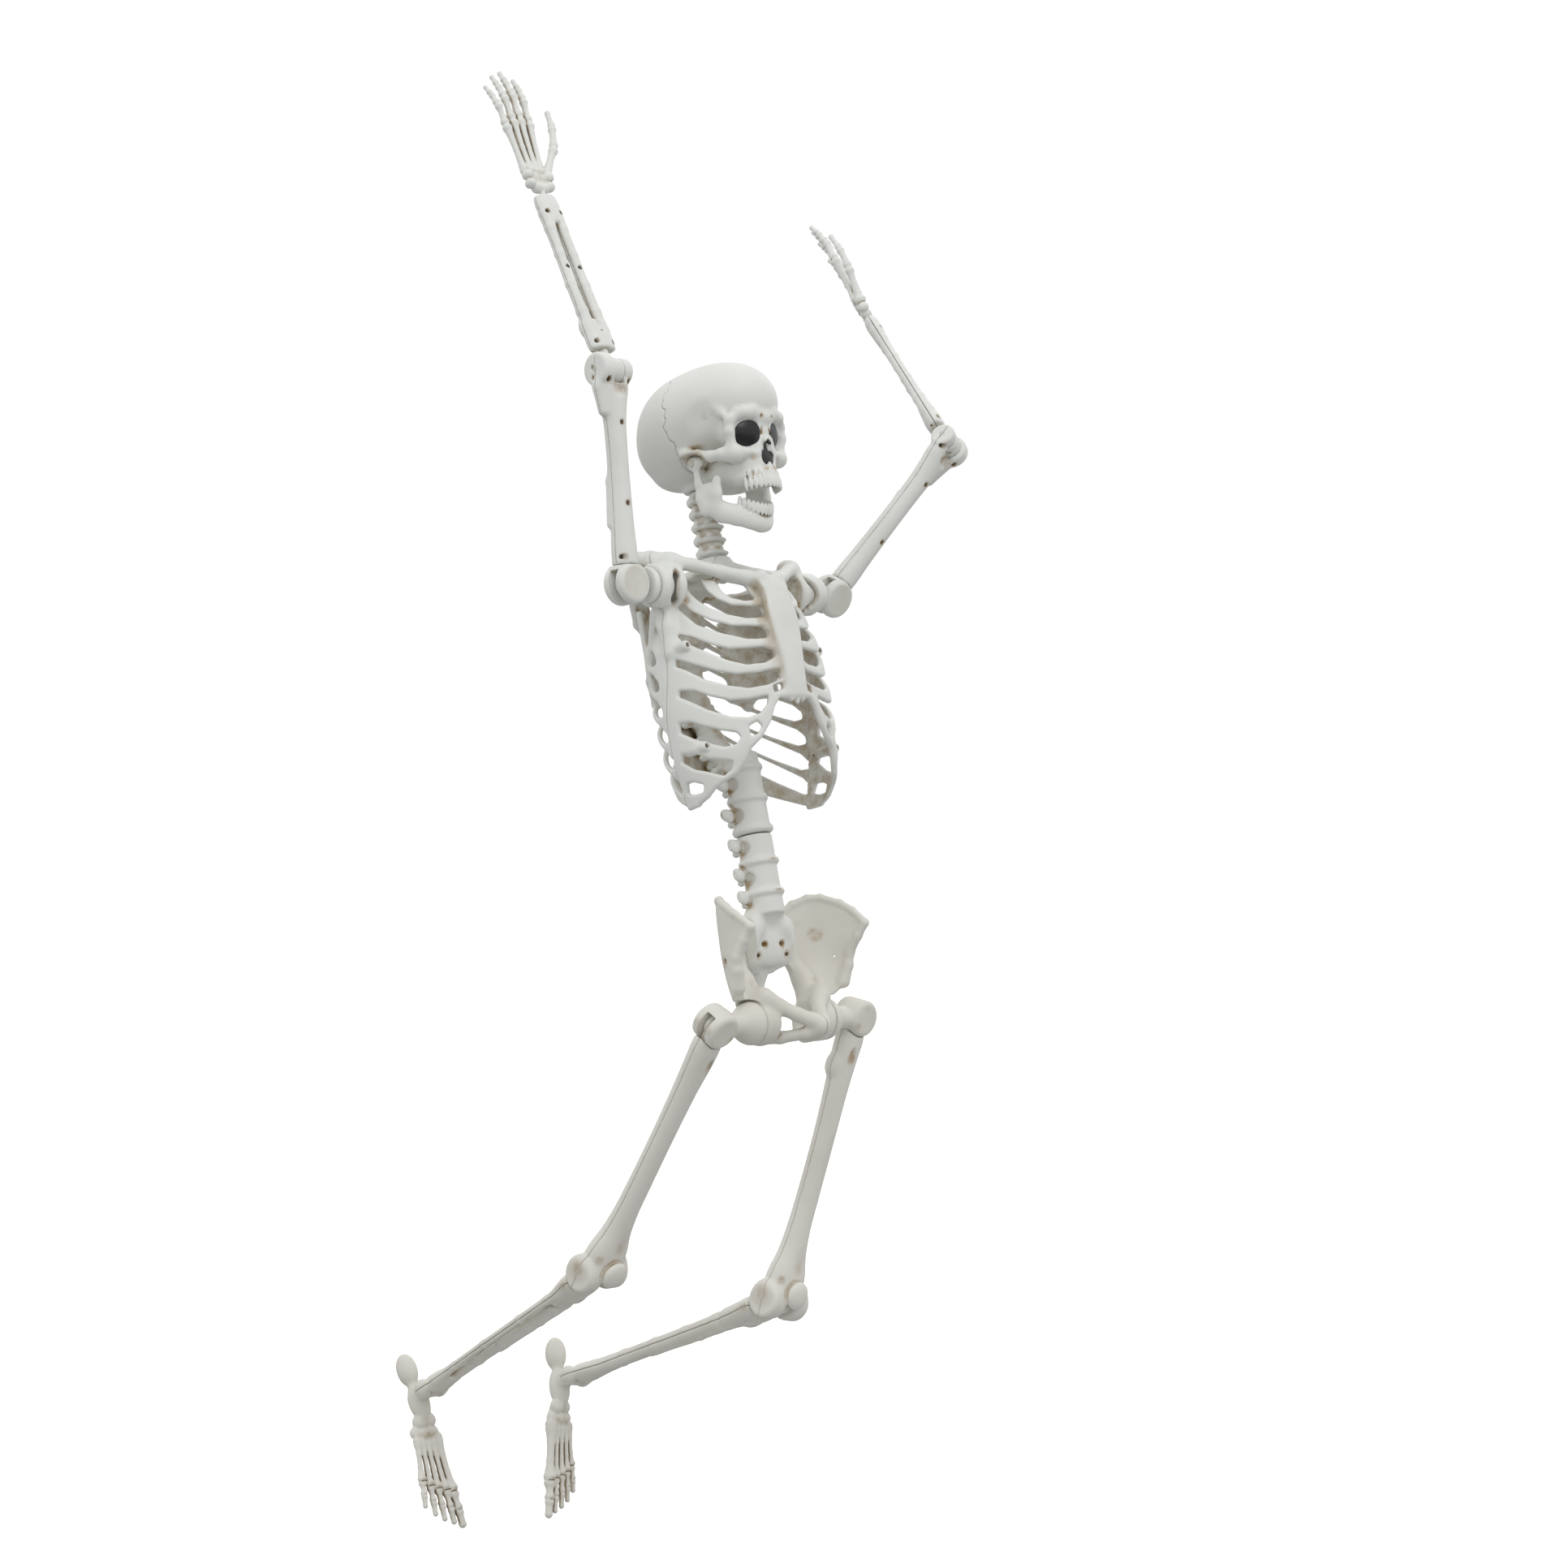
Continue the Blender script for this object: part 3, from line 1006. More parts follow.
def make_sacrum():
    c = Clay((-46, -26, -192), (46, 60, 24), 1.25)
    c.add(drum("z", -96, -0.4, 21, 0, 0, 2.5))
    for z in (-33, -70):
        c.add(drum("z", z - 3, z + 3, 24.2, 0, -0.5, 2.6), 5)
        for s in (-1, 1):
            c.carve(egg((s * 20, 2, z + 18), (4, 9, 7)), 4)
    for z in (-11, -46, -73):
        for s in (-1, 1):
            c.path([(s * 14, 8, z, 6), (s * 25, 9, z, 7.2), (s * 31, 10, z + 2, 7)], 3, 3, (0, 1, 0), 0.62)
        c.path([(0, 14, z, 5.5), (0, 32, z - 4, 4.6)], 4)
    c.add(egg((0, 6, -92), (25, 17, 12)), 6)
    for side in (-1, 1):
        c.path([(side * 8, 10, -96, 13), (side * 26, 7, -110, 14), (side * 38, 6, -126, 13)], 8, 7)
        c.path([(side * 40, 8, -132, 10), (side * 28, 16, -144, 9), (side * 14, 24, -152, 9)], 9, 8)
    c.path([(0, 12, -98, 14), (0, 20, -120, 13), (0, 26, -140, 12), (0, 31, -160, 9), (0, 33, -176, 6)], 9, 7)
    c.add(egg((0, 12, -122), (44, 14, 33)), 6)
    x, y, z = c.grid()
    c.keep(np.maximum(np.abs(x) - 33.7, z + 0.4), 1.2)
    c.add(drum("z", -2, 12.6, 8.95, 0, 0, 0.3)).add(drum("z", 12.4, 21.4, 13.4, 0, 0, 0.6))
    for s in (-1, 1):
        c.carve(egg((s * 15, 0, -130), (4.6, 7, 2.6)), 2)
        c.carve(egg((s * 25, 8, -142), (3.4, 7, 2.4)), 2)
    stains = [((s * 18, 4, z), 8, 0.8) for s in (-1, 1) for z in (-26, -59, -86)]
    stains += [((s * x, y, z), 7, 1.1) for s in (-1, 1) for x, y, z in ((15, 1, -130), (25, 5, -142))]
    fire("visible_sacrum", c, pelvis, "pelvis", ["sacrum"], BONE, stains)


# outline of the blade: distance forward along it from its middle, height
WING = [(-50, -96), (-37, -87), (-24, -79), (-5, -74), (11, -76), (33, -87), (46, -99), (60, -120),
        (52, -130), (37, -147), (32, -158), (28, -170), (18, -188), (0, -200), (-20, -190), (-30, -176),
        (-33, -162), (-44, -152), (-56, -142)]


# direction across the blade, seen from above, and where its middle stands
BLADE_X, BLADE_Y = 0.64, 0.768
BLADE_AT = (78, -4)


def blade_bowl(t, z):
    """Outward bulge of the blade, deeper lower down."""
    return 10 - np.clip(0.0060 + 0.00013 * (-88 - z), 0.0060, 0.0120) * (t - 6) ** 2 - 0.0016 * (z + 128) ** 2


def wing_point(s, t, z, r):
    """Point of the blade's curved middle surface, with a radius."""
    bowl = blade_bowl(t, z)
    x = BLADE_AT[0] + BLADE_X * t + BLADE_Y * bowl
    y = BLADE_AT[1] - BLADE_Y * t + BLADE_X * bowl
    return s * x, y, z, r


def make_hip_bone(s, word):
    c = Clay((-s * 2, -82, -292), (s * 128, 66, -66), 1.35)
    x, y, z = c.grid()
    out, back = s * x - BLADE_AT[0], y - BLADE_AT[1]
    t = out * BLADE_X - back * BLADE_Y
    n = -out * BLADE_Y - back * BLADE_X
    bowl = blade_bowl(t, z)
    gs, gh = np.arange(-90, 90, MAP_STEP), np.arange(-240, -50, MAP_STEP)
    outline = polygon_distance(*np.meshgrid(gs, gh, indexing="ij"), WING)
    edge = look_up((gs, gh, outline), t, z)
    thick = np.clip(3.2 + 0.05 * (-118 - z), 3.2, 7.5)
    plate = round_both(np.abs(n + bowl) - thick, edge + 0.6, 2.6)
    c.d = soft_min(c.d, plate.astype(np.float32), 3)
    crest = [(-36, -88), (-24, -80.5), (-5, -76), (11, -78), (33, -89), (46, -101), (58, -119)]
    c.path([wing_point(s, a, b, 4.2) for a, b in crest], 4, 3)
    c.path([wing_point(s, a, b, r) for a, b, r in ((57, -121, 4.6), (47, -133, 4.6), (34, -150, 5),
                                                   (29, -164, 6), (20, -182, 8))], 5, 4)
    c.path([(s * 46, 26, -118, 9), (s * 49, 22, -140, 9.5), (s * 54, 10, -172, 13), (s * 54, 2, -200, 19)],
           8, 7)
    c.add(drum("x", s * 36, s * 61.7, 26, 0, -222, 5), 6)
    c.path([(s * 50, -14, -196, 13), (s * 34, -22, -208, 9), (s * 20, -34, -220, 8), (s * 8, -46, -230, 8.6),
            (s * 1, -51, -236, 10)], 7, 4)
    c.path([(s * 1, -49, -240, 8.6), (s * 10, -34, -243, 7), (s * 26, -8, -242, 7), (s * 40, 12, -238, 8.4),
            (s * 50, 22, -230, 10.5), (s * 50, 20, -214, 12)], 5, 4)
    c.carve(egg((s * 52, -22, -176), (5, 4, 9)), 4)
    c.keep(0.6 - s * x, 1.0)
    c.keep(-np.maximum(s * x - 34.3, -188 - z), 1.5)
    c.carve(drum("x", s * 44, s * 54.2, 18.1, 0, -222, 0.3), 0.3)
    c.carve(drum("x", s * 54, s * 90, 11.15, 0, -222, 0.2), 0.3)
    c.carve(drum("x", s * 61.8, s * 96, 27.3, 0, -222, 0.5), 1.0)
    c.carve(egg((s * 98, -8, -150), (4.5, 9, 3.4), ("Z", -s * 50)), 1)
    stains = [((s * 80, 2, -121), (11, 12, 10), 0.95), ((s * 92, -26, -128), (9, 9, 9), 0.3),
              ((s * 98, -6, -150), 8, 1.1), ((s * 56, -8, -178), (9, 10, 12), 0.5),
              ((s * 60, 8, -196), 12, 0.3), ((s * 66, 14, -104), 9, 0.35),
              ((s * 20, -44, -252), (20, 14, 10), 0.35)]
    fire(f"visible_hip_bone_{word}", c, pelvis, "pelvis", [f"hip_bone_{word}"], BONE_LEGS,
         stains)


# ------------------------------------------------------------------ arms

# In every limb s is 1 on the figure's left and -1 on its right.

def make_shoulder_hub(s, word):
    where = frames["hub", word]
    c = Clay((-s * 62, -26, -26), (s * 16, 26, 26), 1.0)
    c.add(drum("x", -s * 60, -s * 45.4, 18.4, 0, 0, 1))
    c.add(drum("x", -s * 47, -s * 30, 12.95, 0, 0, 0.5))
    c.add(drum("x", -s * 36.4, -s * 27.5, 21, 0, 0, 2.5), 0.8)
    c.add(brick((-s * 29, -5.9, -11), (0, 5.9, 11), 1.5), 2)
    c.add(drum("y", -5.9, 5.9, 13.9, 0, 0, 1), 0.6)
    c.carve(drum("y", -8, 8, 3.1, 0, 0, 0.2), 0.3)
    c.carve(egg((-s * 30, -21, 6), (3, 5, 2.6)), 1)
    fire_sided("shoulder_hub", word, c, where, BONE,
         [((-s * 27, -14, 0), 12, 0.5), ((-s * 12, 0, 0), 14, 0.6)])


def make_shoulder_knuckle(s, word):
    where = frames["knuckle", word]
    c = Clay((-27, -19, -46), (27, 19, 27), 1.0)
    c.add(drum("y", -16.6, 16.6, 24, 0, 0, 6))
    c.add(rod((0, -3, -10), (0, -3, -19), 15, 15.5), 5)
    c.carve(egg((s * 10, -17.5, 4), (8, 3.4, 10)), 3)
    x, y, z = c.grid()
    c.keep(-21.0 - z, 0.8)
    c.carve(brick((-40, -6.4, -15.2), (40, 6.4, 40), 0.5), 0.6)
    c.add(drum("z", -41, -20, 6.95, 0, 0, 0.3)).add(drum("z", -44, -40, 10.4, 0, 0, 0.6))
    c.carve(drum("y", -15.1, 15.1, 3.0, 0, 0, 0.2), 0.3)
    fire_sided("shoulder_knuckle", word, c, where, BONE,
               [((0, 0, 0), (28, 9, 28), 0.7), ((s * 10, -16, 4), 8, 0.6)])


def make_upper_arm(s, word):
    where = frames["upper_arm", word]
    low = -248
    c = Clay((-31, -25, -274), (31, 25, -20), 1.15)
    c.add(shaft([(-21.7, 0, 0, 15, 15), (-34, 0, 0, 15, 15), (-60, 0, 0, 14, 13.6), (-92, 0, 0, 13, 13),
                 (-124, 0, 0, 12.4, 12.6), (-160, 0, 0, 12.6, 12.4), (-190, 0, 0, 14, 12.8),
                 (-212, s * 0.5, 0, 18.5, 13.8), (-226, s * 1, 0, 22.5, 14.4), (-238, s * 1.5, 0, 23.5, 14)],
                2.2))
    c.path([(s * 10, -9, -70, 4), (s * 6, -10, -120, 3.4), (-s * 4, -9, -160, 2.6)], 6, 4)
    c.add(drum("x", s * 9.2, s * 26, 20, 0, low, 4.5), 4)
    c.add(drum("x", -s * 9.2, -s * 23, 15, 0, low, 3.8), 4)
    c.path([(s * 20, 0, -226, 8), (s * 17, 0, -200, 6)], 6)
    for y0 in (-15.5, 15.5):
        c.carve(egg((s * 1, y0, -225), (8.5, 4.8, 8)), 4)
    c.carve(brick((-9.05, -40, -280), (9.05, 40, low + 16.3), 1.2), 0.7)
    c.carve(drum("z", -40, -18, 7.1, 0, 0, 0.1), 0.2)
    c.carve(drum("z", -44.7, -39.7, 11.0, 0, 0, 0.1), 0.2)
    for n in range(7):
        a = 2 * math.pi * n / 7
        c.carve(egg((15.5 * math.cos(a), 15.5 * math.sin(a), -21), (3.2, 3.2, 2.1)), 1.2)
    places = [(0, -92), (0, -186), (s * 11, -30), (s * 18, -235), (-s * 18, -235)]
    holes(c, places, 4)
    for hx, hz in ((s * 26, -250), (s * 26, -238)):
        c.carve(egg((hx, -4, hz), (4, 2.4, 3)), 0.8)
    stains = [((x, 12, z), 6, 0.9) for x, z in places] + [((0, y, -228), (14, 9, 12), 1.15) for y in (-14,
                                                                                                      14)]
    stains += [((0, 0, -246), (12, 22, 12), 0.8), ((0, 0, -22), (17, 17, 3), 0.4),
               ((6, 12, -110), (7, 6, 20), 0.25)]
    split_halves("upper_arm", c, where, f"upper_arm_{word}", word, BONE, stains)


def make_elbow_hub(s, word):
    where = frames["elbow", word]
    c = Clay((-12, -18, -52), (12, 18, 18), 0.9)
    c.add(drum("x", -8.5, 8.5, 15, 0, 0, 2.2))
    c.add(rod((0, 0, -11), (0, 0, -17), 8, 5.5), 3)
    c.add(drum("z", -47, -10, 4.95, 0, 0, 0.3), 1.2).add(drum("z", -50, -46.4, 8.4, 0, 0, 0.5))
    c.carve(drum("x", -12, 12, 3.1, 0, 0, 0.2), 0.2)
    for a in (200, 240):
        py, pz = 10 * math.sin(math.radians(a)), -10 * math.cos(math.radians(a))
        c.carve(egg((0, py * 1.45, pz * 1.45), (2.0, 4, 2.4)), 0.5)
    fire_sided("elbow_hub", word, c, where, BONE,
         [((0, 0, 0), (9, 20, 20), 0.45), ((0, 0, -16), 8, 0.6)])


def make_forearm(s, word):
    where = frames["elbow", word]
    low = -256
    c = Clay((-24, -15, -246), (24, 15, -25), 1.0)
    c.add(shaft([(-27.1, 0, 0, 18.5, 10), (-36, 0, 0, 19.6, 11.2), (-50, 0, 0, 19.2, 11),
                 (-66, 0, 0, 17, 8.8)], 2.6))
    c.add(shaft([(-202, 0, 0, 14, 7), (-218, 0, 0, 16.5, 8.8), (-228, 0, 0, 17.5, 9.6),
                 (-241, 0, 0, 15.5, 9)], 2.6))
    for sx in (-1, 1):
        big = 1.0 if sx == -s else 0.9
        c.path([(sx * 9.4, 0, -54, 9.0 * big), (sx * 10, 0, -80, 7.6 * big),
                (sx * 10.6, -0.6, -118, 6.9 * big), (sx * 10.2, -0.4, -160, 6.5 * big),
                (sx * 9.4, 0, -196, 6.8), (sx * 8.6, 0, -216, 7.8)], 3, 3)
    c.carve(egg((0, -11.5, -56), (5, 3.6, 8)), 3)
    c.carve(egg((0, 11.5, -56), (5, 3.6, 8)), 3)
    c.add(egg((s * 14, -3, -58), (5, 6, 10)), 4)
    c.carve(drum("z", -46, -20, 5.1, 0, 0, 0.1), 0.2)
    c.carve(drum("z", -50.7, -46, 9.05, 0, 0, 0.1), 0.2)
    c.carve(drum("z", low + 8, low + 26, 3.6, 0, 0, 0.1), 0.2)
    c.carve(drum("z", low + 26, low + 31, 6.55, 0, 0, 0.1), 0.2)
    places = [(-9.6, -140), (9.6, -140), (-12.8, -35), (12.8, -35), (-10.5, -216), (10.5, -216)]
    holes(c, places, 3, 2.8)
    for hx, hy in ((-12, -5), (0, -7), (12, -5)):
        c.carve(egg((hx, hy, -27.5), (2.1, 1.6, 5)), 0.6)
    stains = [((x, 9, z), 5, 0.8) for x, z in places] + [((0, 0, -66), (6, 14, 9), 0.8),
                                                         ((0, 0, -204), (6, 12, 9), 0.6),
                                                         ((0, 0, -27), (20, 12, 3), 0.5)]
    split_halves("forearm", c, where, f"forearm_{word}", word, BONE, stains)


CARPALS = [(-15, 1, -1, 6.4), (-5, 0, 2, 7), (5, 0, 2, 7), (14.5, 1, -2, 6), (-17, 3, -13, 6.2),
           (-6, -1, -11, 6.4), (4, -1, -12, 6.8), (14, 1, -14, 6.2), (-3, 0, -21, 6), (8, 0, -21, 6)]
# fingers: (x at the wrist, x at the tip, height of the tip, thickness)
FINGERS = [(13, 27, -158, 6.0), (5, 9, -166, 6.2), (-4, -7, -158, 6.0), (-13, -25, -140, 5.4)]
FINGER_ROOT = -22
# bones and knuckles along a finger: (share of its length, sag, share of its thickness)
FINGER_SHAPE = [(0, 0.0, 1.02), (0.06, 0.1, 0.80), (0.24, 0.5, 0.62), (0.42, 0.9, 0.74), (0.49, 1.0, 1.04),
                (0.53, 1.05, 0.62), (0.555, 1.1, 0.92), (0.62, 1.25, 0.6), (0.70, 1.5, 0.62),
                (0.735, 1.55, 0.84), (0.765, 1.5, 0.56), (0.79, 1.4, 0.78), (0.83, 1.2, 0.52),
                (0.875, 1.0, 0.66), (0.905, 0.8, 0.50), (0.93, 0.6, 0.60), (0.965, 0.3, 0.40),
                (1.0, 0.0, 0.52)]
THUMB = [(15, 2, -14, 6.4), (19, 4, -22, 5.0), (30, 8, -42, 4.0), (35, 10, -50, 5.6), (36.5, 10.6, -53.5, 4),
         (38, 11, -57, 5.2), (41.5, 12.4, -70, 3.6), (44, 13, -80, 4.8), (44.8, 13, -83, 3.2),
         (45.5, 13, -86, 4.2), (47, 12.4, -96, 2.9), (48, 12, -105, 3.6)]


def along_finger(s, base, tip, tip_z, share):
    """x and z of a point on a finger."""
    return -s * (base + (tip - base) * share), FINGER_ROOT + (tip_z - FINGER_ROOT) * share


def make_hand(s, word):
    c = Clay((-s * 56, -13, -176), (s * 36, 26, 34), 0.95)
    c.add(drum("z", -4, 26.4, 3.45, 0, 0, 0.3)).add(drum("z", 26.4, 30.4, 5.95, 0, 0, 0.4))
    for x, y, z, r in CARPALS:
        c.add(egg((s * x, y, z), (r * 1.04, 7.2, r * 0.98)), 1.3)
    c.add(egg((0, 0, -10), (16, 4.6, 13)), 2)
    for base, tip, tip_z, thick in FINGERS:
        marks = []
        for share, sag, girth in FINGER_SHAPE:
            x, z = along_finger(s, base, tip, tip_z, share)
            marks.append((x, sag * 4 - 2, z, thick * girth))
        c.path(marks, 1.4, 1.6)
        for share in (0.53, 0.765, 0.905):
            x, z = along_finger(s, base, tip, tip_z, share)
            c.carve(brick((x - 7, -14, z - 0.45), (x + 7, 0.2, z + 0.45), 0.2), 0.5)
    c.path([(-s * x, y, z, r) for x, y, z, r in THUMB], 1.6, 1.6)
    stains = [((0, 0, -10), (20, 10, 16), 0.55)]
    for base, tip, tip_z, thick in FINGERS:
        for share in (0.0, 0.52, 0.76, 0.9):
            x, z = along_finger(s, base, tip, tip_z, share)
            stains.append(((x, 2, z), 6, 0.5))
    fire_sided("hand", word, c, frames["hand", word], BONE, stains)


# ------------------------------------------------------------------ legs

def make_hip_hub(s, word):
    where = frames["hip", word]
    c = Clay((-s * 80, -28, -28), (s * 24, 28, 28), 1.15)
    c.add(drum("x", -s * 79, -s * 70.4, 17.4, 0, 0, 1))
    c.add(drum("x", -s * 71, -s * 60, 10.9, 0, 0, 0.4))
    dome = c.blank().add(egg((-s * 62, 0, 0), (25.6, 25.6, 25.6)))
    x, y, z = dome.grid()
    dome.keep(-61.4 - s * x, 1.2)
    c.d = np.minimum(c.d, dome.d)
    c.path([(-s * 46, 0, 0, 15), (-s * 30, 0, 0, 12.5), (-s * 16, 0, 0, 12.5)], 7, 5)
    c.add(drum("y", -18.4, 18.4, 22, 0, 0, 6), 6)
    c.add(egg((-s * 10, 0, 6), (12, 15, 12)), 5)
    c.carve(brick((-s * 16, -6.8, -60), (s * 60, 6.8, 15), 1.0), 0.6)
    c.carve(drum("y", -17.1, 17.1, 3.0, 0, 0, 0.2), 0.2)
    fire_sided("hip_hub", word, c, where, BONE_LEGS,
         [((0, 0, 0), (24, 10, 24), 0.8), ((-s * 14, -16, -8), 8, 0.6), ((-s * 34, -12, -6), 10, 0.3),
          ((0, -17, 12), 9, 0.35)])


def make_thigh(s, word):
    where = frames["thigh", word]
    low = -350
    c = Clay((-37, -37, -376), (37, 26, 16), 1.25)
    c.add(shaft([(-12, 0, 0, 17, 14.5), (-28, 0, 0, 18.4, 16), (-44, -s * 0.5, 0, 18, 15.6),
                 (-84, 0, 0, 15, 14.4), (-130, s * 0.6, -0.6, 13.6, 13.6), (-175, s * 0.6, -0.8, 13.2, 13.4),
                 (-220, 0.3 * s, -0.6, 13.6, 13.6), (-266, 0, 0, 15.6, 14.2), (-292, 0, 0, 20, 15.6),
                 (-314, 0, 0, 27.5, 18), (-338, 0, 0, 31.5, 19.6)], 2.4))
    c.add(egg((-s * 15, 3, -62), (7, 9, 13)), 7)
    c.carve(drum("y", -40, 40, 22.9, 0, 0, 0.3), 0.8)
    c.add(drum("y", -6.4, 6.4, 13, 0, 0, 1)).add(brick((-9, -6.4, -36), (9, 6.4, -2), 1), 1)
    c.carve(drum("y", -9, 9, 3.1, 0, 0, 0.2), 0.2)
    for sx in (-1, 1):
        c.add(drum("x", sx * 8.6, sx * 33, 22, 0, low, 5.5), 5)
        c.add(egg((sx * 29, 2, low + 8), (6, 15, 15)), 5)
    c.carve(egg((0, 20, -322), (12, 7, 14)), 6)
    c.carve(egg((0, -23, -300), (11, 6, 18)), 7)
    c.carve(brick((-8.9, -60, -400), (8.9, 60, low + 17.6), 1.5), 0.8)
    c.add(egg((0, -25, low + 13), (16, 8, 17)), 4)
    places = [(0, -96), (0, -190), (0, -284)]
    holes(c, places, 4)
    c.carve(egg((-s * 4, -16, -46), (3.6, 4, 10)), 2)
    for hx in (-24, 24):
        c.carve(egg((hx, -16, -322), (3, 5, 3)), 1.5)
    stains = [((x, 13, z), 6, 0.9) for x, z in places] + [((-s * 4, -14, -48), (7, 8, 12), 0.95),
                                                          ((0, 17, -324), (16, 9, 14), 0.8)]
    stains += [((0, 0, -24), (22, 20, 4), 0.5), ((0, -18, -304), (12, 8, 18), 0.5),
               ((0, -14, -150), (7, 6, 34), 0.25)]
    stains += [((hx, -15, -322), 8, 0.8) for hx in (-24, 24)] + [((0, 0, -352), (10, 24, 16), 0.8)]
    split_halves("thigh", c, where, f"thigh_{word}", word, BONE_LEGS, stains)


def make_shin(s, word):
    where = frames["shin", word]
    low = -330
    c = Clay((-34, -21, -346), (34, 21, 18), 1.15)
    medial, lateral = -s * 6, s * 14
    c.add(shaft([(-24.7, 0, 0, 30, 15.4), (-34, 0, 0, 29.6, 16.4), (-46, 0, 0, 26, 15.6),
                 (-66, -s * 2, 0, 19, 13.4), (-78, -s * 3, 0, 16, 12.6)], 3))
    c.add(shaft([(-284, 0, 0, 15, 9), (-300, 0, 0, 19, 11.6), (-312, 0, 0, 20.6, 12.2),
                 (-319, 0, 0, 20.4, 12)], 3))
    c.path([(medial, 0, -56, 12.6), (medial, -0.6, -90, 11.2), (medial, -1, -140, 10.2),
            (medial, -0.8, -190, 9.6), (medial, -0.4, -240, 9), (medial * 0.8, 0, -290, 9.6)], 4, 4)
    c.path([(lateral * 1.05, 1, -48, 7.6), (lateral * 1.1, 1, -76, 5.6), (lateral * 1.2, 1, -130, 5.0),
            (lateral * 1.2, 1, -200, 5.0), (lateral * 1.1, 0.6, -262, 5.2), (lateral, 0, -300, 7)], 3, 3)
    c.path([(medial - s * 2, -11, -70, 3), (medial, -11, -120, 2.6), (medial, -9.6, -200, 2)], 5, 4)
    c.add(egg((0, -13, -44), (9, 6, 11)), 5)
    for sx in (-1, 1):
        c.add(drum("x", sx * 8.8, sx * 17.4, 12.5, 0, low, 3), 2.5)
        c.add(egg((sx * 18, 0, low + 4), (5, 9, 12)), 4)
    c.carve(brick((-8.7, -40, -400), (8.7, 40, low + 12.6), 1), 0.6)
    c.carve(drum("x", -15.4, 15.4, 3.1, 0, low, 0.1), 0.2)
    c.add(drum("x", -9.2, 9.2, 14.9, 0, 0, 3)).add(brick((-9.2, -8.8, -34), (9.2, 8.8, -2), 1.5), 1.5)
    c.carve(drum("x", -12, 12, 3.1, 0, 0, 0.1), 0.2)
    places = [(medial, -130), (medial, -220), (medial, -300), (medial, -46)]
    holes(c, places, 4)
    c.carve(egg((s * 8, -14, -72), (3, 5, 12)), 2)
    stains = [((x, 12, z), 6, 0.9) for x, z in places] + [((s * 5, 0, -76), (6, 16, 14), 0.8),
                                                          ((s * 5, 0, -278), (6, 12, 12), 0.7)]
    stains += [((0, 0, -26), (30, 16, 3), 0.4), ((0, 0, low + 4), (11, 14, 12), 0.8), ((0, -13, -56), 8, 0.4)]
    split_halves("shin", c, where, f"shin_{word}", word, BONE_LEGS, stains)


# bones of the instep: (x, y, z, radius)
TARSALS = [(-7, -32, -29, 9), (7, -32, -31, 8.6), (-12, -46, -34, 7.6), (-3, -46, -32, 7.6),
           (6, -47, -33, 7.4), (14, -44, -36, 7.2)]
# toes: (x at the instep, x at the tip, y of the tip, thickness)
TOES = [(-15, -23, -163, 7.0), (-6, -11, -158, 5.2), (2, 2, -152, 5.0), (10, 14, -144, 4.8),
        (17, 26, -132, 4.6)]
TOE_ROOT = -54
# bones and knuckles along a toe: (share of its length, rise, share of its thickness)
TOE_SHAPE = [(0, 0, 1.12), (0.05, -0.5, 1.0), (0.2, -2, 0.70), (0.40, -4.5, 0.66), (0.52, -6, 0.82),
             (0.585, -6.5, 1.1), (0.625, -7, 0.74), (0.655, -7.2, 0.98), (0.72, -7.6, 0.62),
             (0.775, -8, 0.64), (0.81, -8.4, 0.86), (0.838, -8.8, 0.60), (0.865, -9, 0.78),
             (0.91, -9.8, 0.58), (0.945, -10.4, 0.60), (1.0, -11, 0.72)]


def along_toe(s, base, tip, tip_y, share):
    """x and y of a point on a toe."""
    return s * (base + (tip - base) * share), TOE_ROOT + (tip_y - TOE_ROOT) * share


def make_foot(s, word):
    c = Clay((-34, -172, -64), (34, 60, 14), 1.1)
    c.add(drum("x", -8.0, 8.0, 11.4, 0, 0, 2.5))
    c.add(drum("x", -14.9, 14.9, 2.95, 0, 0, 0.5))
    c.add(brick((-7.8, -8, -22), (7.8, 8, -2), 2), 2)
    c.add(egg((0, -8, -28), (14, 25, 12)), 5)
    c.add(egg((s * 1, 34, -30), (12, 21, 14)), 6)
    c.carve(egg((s * 13, 12, -36), (5, 10, 6)), 4)
    for x, y, z, r in TARSALS:
        c.add(egg((s * x, y, z), (r, r * 1.1, r * 0.95)), 1.6)
    c.add(egg((0, -42, -36), (16, 14, 6)), 3)
    for base, tip, tip_y, thick in TOES:
        marks = []
        for share, rise, girth in TOE_SHAPE:
            x, y = along_toe(s, base, tip, tip_y, share)
            marks.append((x, y, -34.3 + rise, thick * girth))
        c.path(marks, 1.6, 1.8)
        for share in (0.625, 0.838):
            x, y = along_toe(s, base, tip, tip_y, share)
            c.carve(brick((x - 6, y - 0.5, -40), (x + 6, y + 0.5, -20), 0.2), 0.5)
    stains = [((s * 13, 12, -34), 9, 0.6), ((0, -50, -28), (22, 8, 8), 0.6), ((0, -34, -24), (14, 8, 6), 0.5)]
    for base, tip, tip_y, thick in TOES:
        for share in (0.0, 0.62, 0.83):
            x, y = along_toe(s, base, tip, tip_y, share)
            stains.append(((x, y, -34), 6.5, 0.6))
    fire_sided("foot", word, c, frames["foot", word], BONE_LEGS, stains)


for make in (make_skull, make_jaw, make_neck, make_rib_front, make_rib_rear, make_lumbar, make_sacrum):
    make()
for side_x, side_word in ((1, "left"), (-1, "right")):
    for make in (make_hip_bone, make_shoulder_hub, make_shoulder_knuckle, make_upper_arm, make_elbow_hub,
                 make_forearm, make_hand, make_hip_hub, make_thigh, make_shin, make_foot):
        make(side_x, side_word)

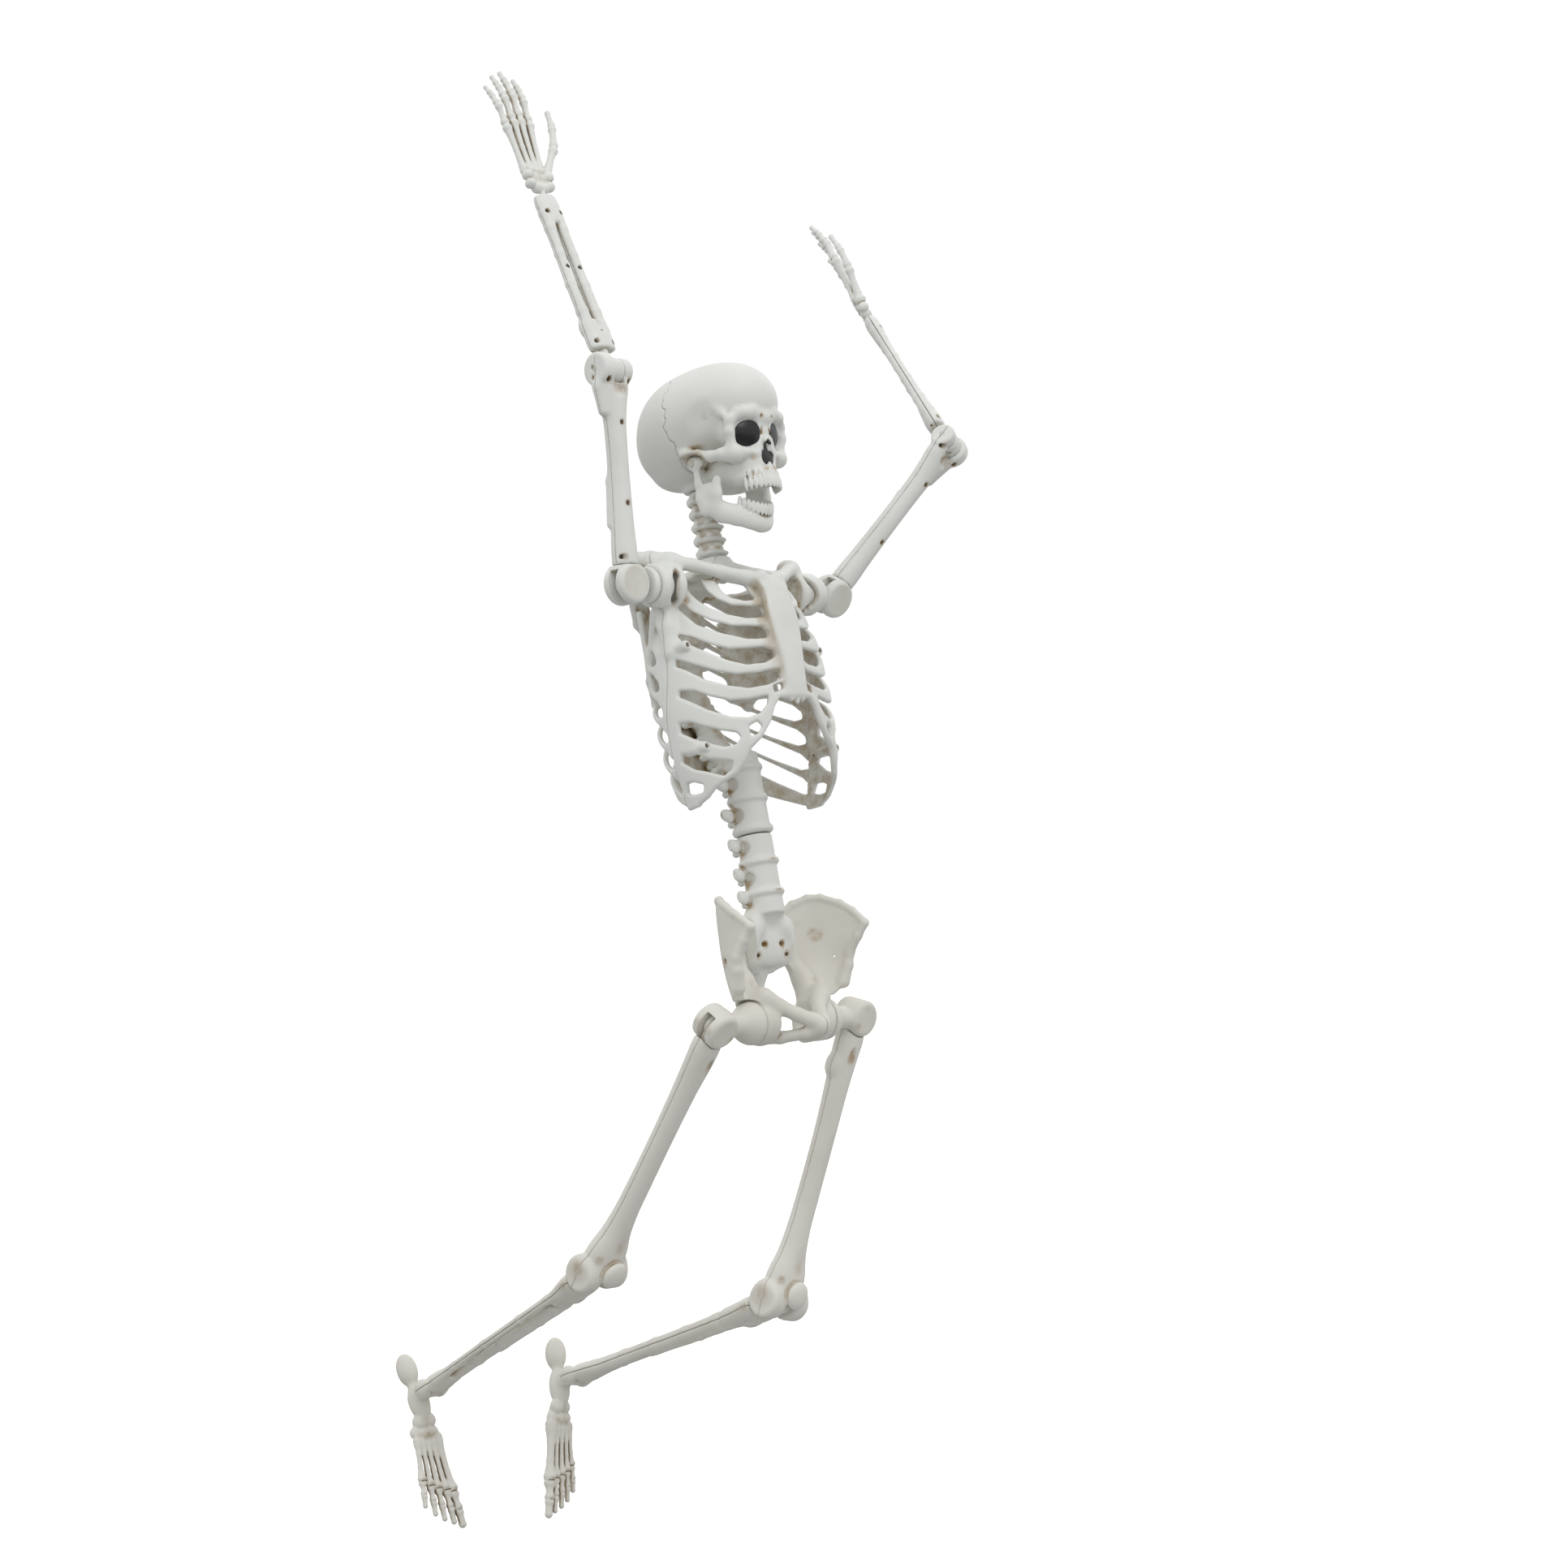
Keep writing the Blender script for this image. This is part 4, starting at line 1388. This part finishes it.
for label, thing in frame["nodes"].items():
    finish_with = SCREW if "screws" in label else PIN if "_pin" in label else None
    if finish_with:
        thing.data.materials.clear()
        thing.data.materials.append(finish_with)


# ------------------------------------------------------------------ floor, light and camera

# the camera looks along AHEAD; SIDE points to its right
SIDE = Vector((0.6820, -0.7314, 0.0))
AHEAD = Vector((0.7314, 0.6820, 0.0))
UP = Vector((0, 0, 1))
# gap between the lowest point of the figure and the floor, and half the floor's width, in metres
FLOOR_GAP = 0.004
FLOOR_REACH = 30.0
# strength of the white surroundings as light and as a backdrop
SOFT_LIGHT = 0.92
BACKDROP = 1.02


def place(name, data):
    thing = bpy.data.objects.new(name, data)
    bpy.context.scene.collection.objects.link(thing)
    return thing


def make_floor():
    """Pale paper floor that shows white to the camera and lights the figure softly from below."""
    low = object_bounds()[0][2] - FLOOR_GAP
    far = FLOOR_REACH
    mesh = bpy.data.meshes.new("floor")
    corners = [(-far, -far, low), (far, -far, low), (far, far, low), (-far, far, low)]
    mesh.from_pydata(corners, [], [(0, 1, 2, 3)])
    paper = plain_finish("floor_paper", (0.42, 0.42, 0.42), (0.40, 0.40, 0.40), 0.9, scale=2)
    nodes = paper.node_tree.nodes
    bsdf = nodes["Principled BSDF"]
    bsdf.inputs["Emission Color"].default_value = (1, 1, 1, 1)
    bsdf.inputs["Specular IOR Level"].default_value = 0.0
    seen = nodes.new("ShaderNodeLightPath").outputs["Is Camera Ray"]
    paper.node_tree.links.new(seen, bsdf.inputs["Emission Strength"])
    mesh.materials.append(paper)
    place("floor", mesh)


def make_surroundings():
    world = bpy.data.worlds.new("studio")
    bpy.context.scene.world = world
    world.use_nodes = True
    nodes, link = world.node_tree.nodes, world.node_tree.links.new
    sky = nodes["Background"]
    sky.inputs["Color"].default_value = (1.0, 1.0, 1.0, 1)
    level = nodes.new("ShaderNodeMapRange")
    level.inputs["To Min"].default_value = SOFT_LIGHT
    level.inputs["To Max"].default_value = BACKDROP
    link(nodes.new("ShaderNodeLightPath").outputs["Is Camera Ray"], level.inputs["Value"])
    link(level.outputs["Result"], sky.inputs["Strength"])


def lamp(name, right, ahead, up, size, power):
    """Round soft lamp aimed at the middle of the figure."""
    light = bpy.data.lights.new(name, "AREA")
    light.shape = "DISK"
    light.size = size
    light.energy = power
    thing = place(name, light)
    thing.location = SIDE * right + AHEAD * ahead + UP * up
    target = Vector((0, 0, -0.3))
    thing.rotation_euler = (target - thing.location).to_track_quat("-Z", "Y").to_euler()


def make_camera():
    data = bpy.data.cameras.new("camera")
    data.sensor_width = 36
    data.lens = 77.16
    data.clip_end = 100
    camera = place("camera", data)
    camera.location = AHEAD * -4.0 + SIDE * 0.0850 + UP * -0.2666
    camera.rotation_euler = AHEAD.to_track_quat("-Z", "Y").to_euler()
    bpy.context.scene.camera = camera


make_floor()
make_surroundings()
lamp("key", 1.2, -2.0, 2.8, 1.6, 20)
lamp("fill", -2.4, -2.4, 1.2, 2.2, 4)
lamp("rim", 1.2, 2.6, 1.6, 1.6, 4)
make_camera()
bpy.context.scene.view_settings.view_transform = "Standard"
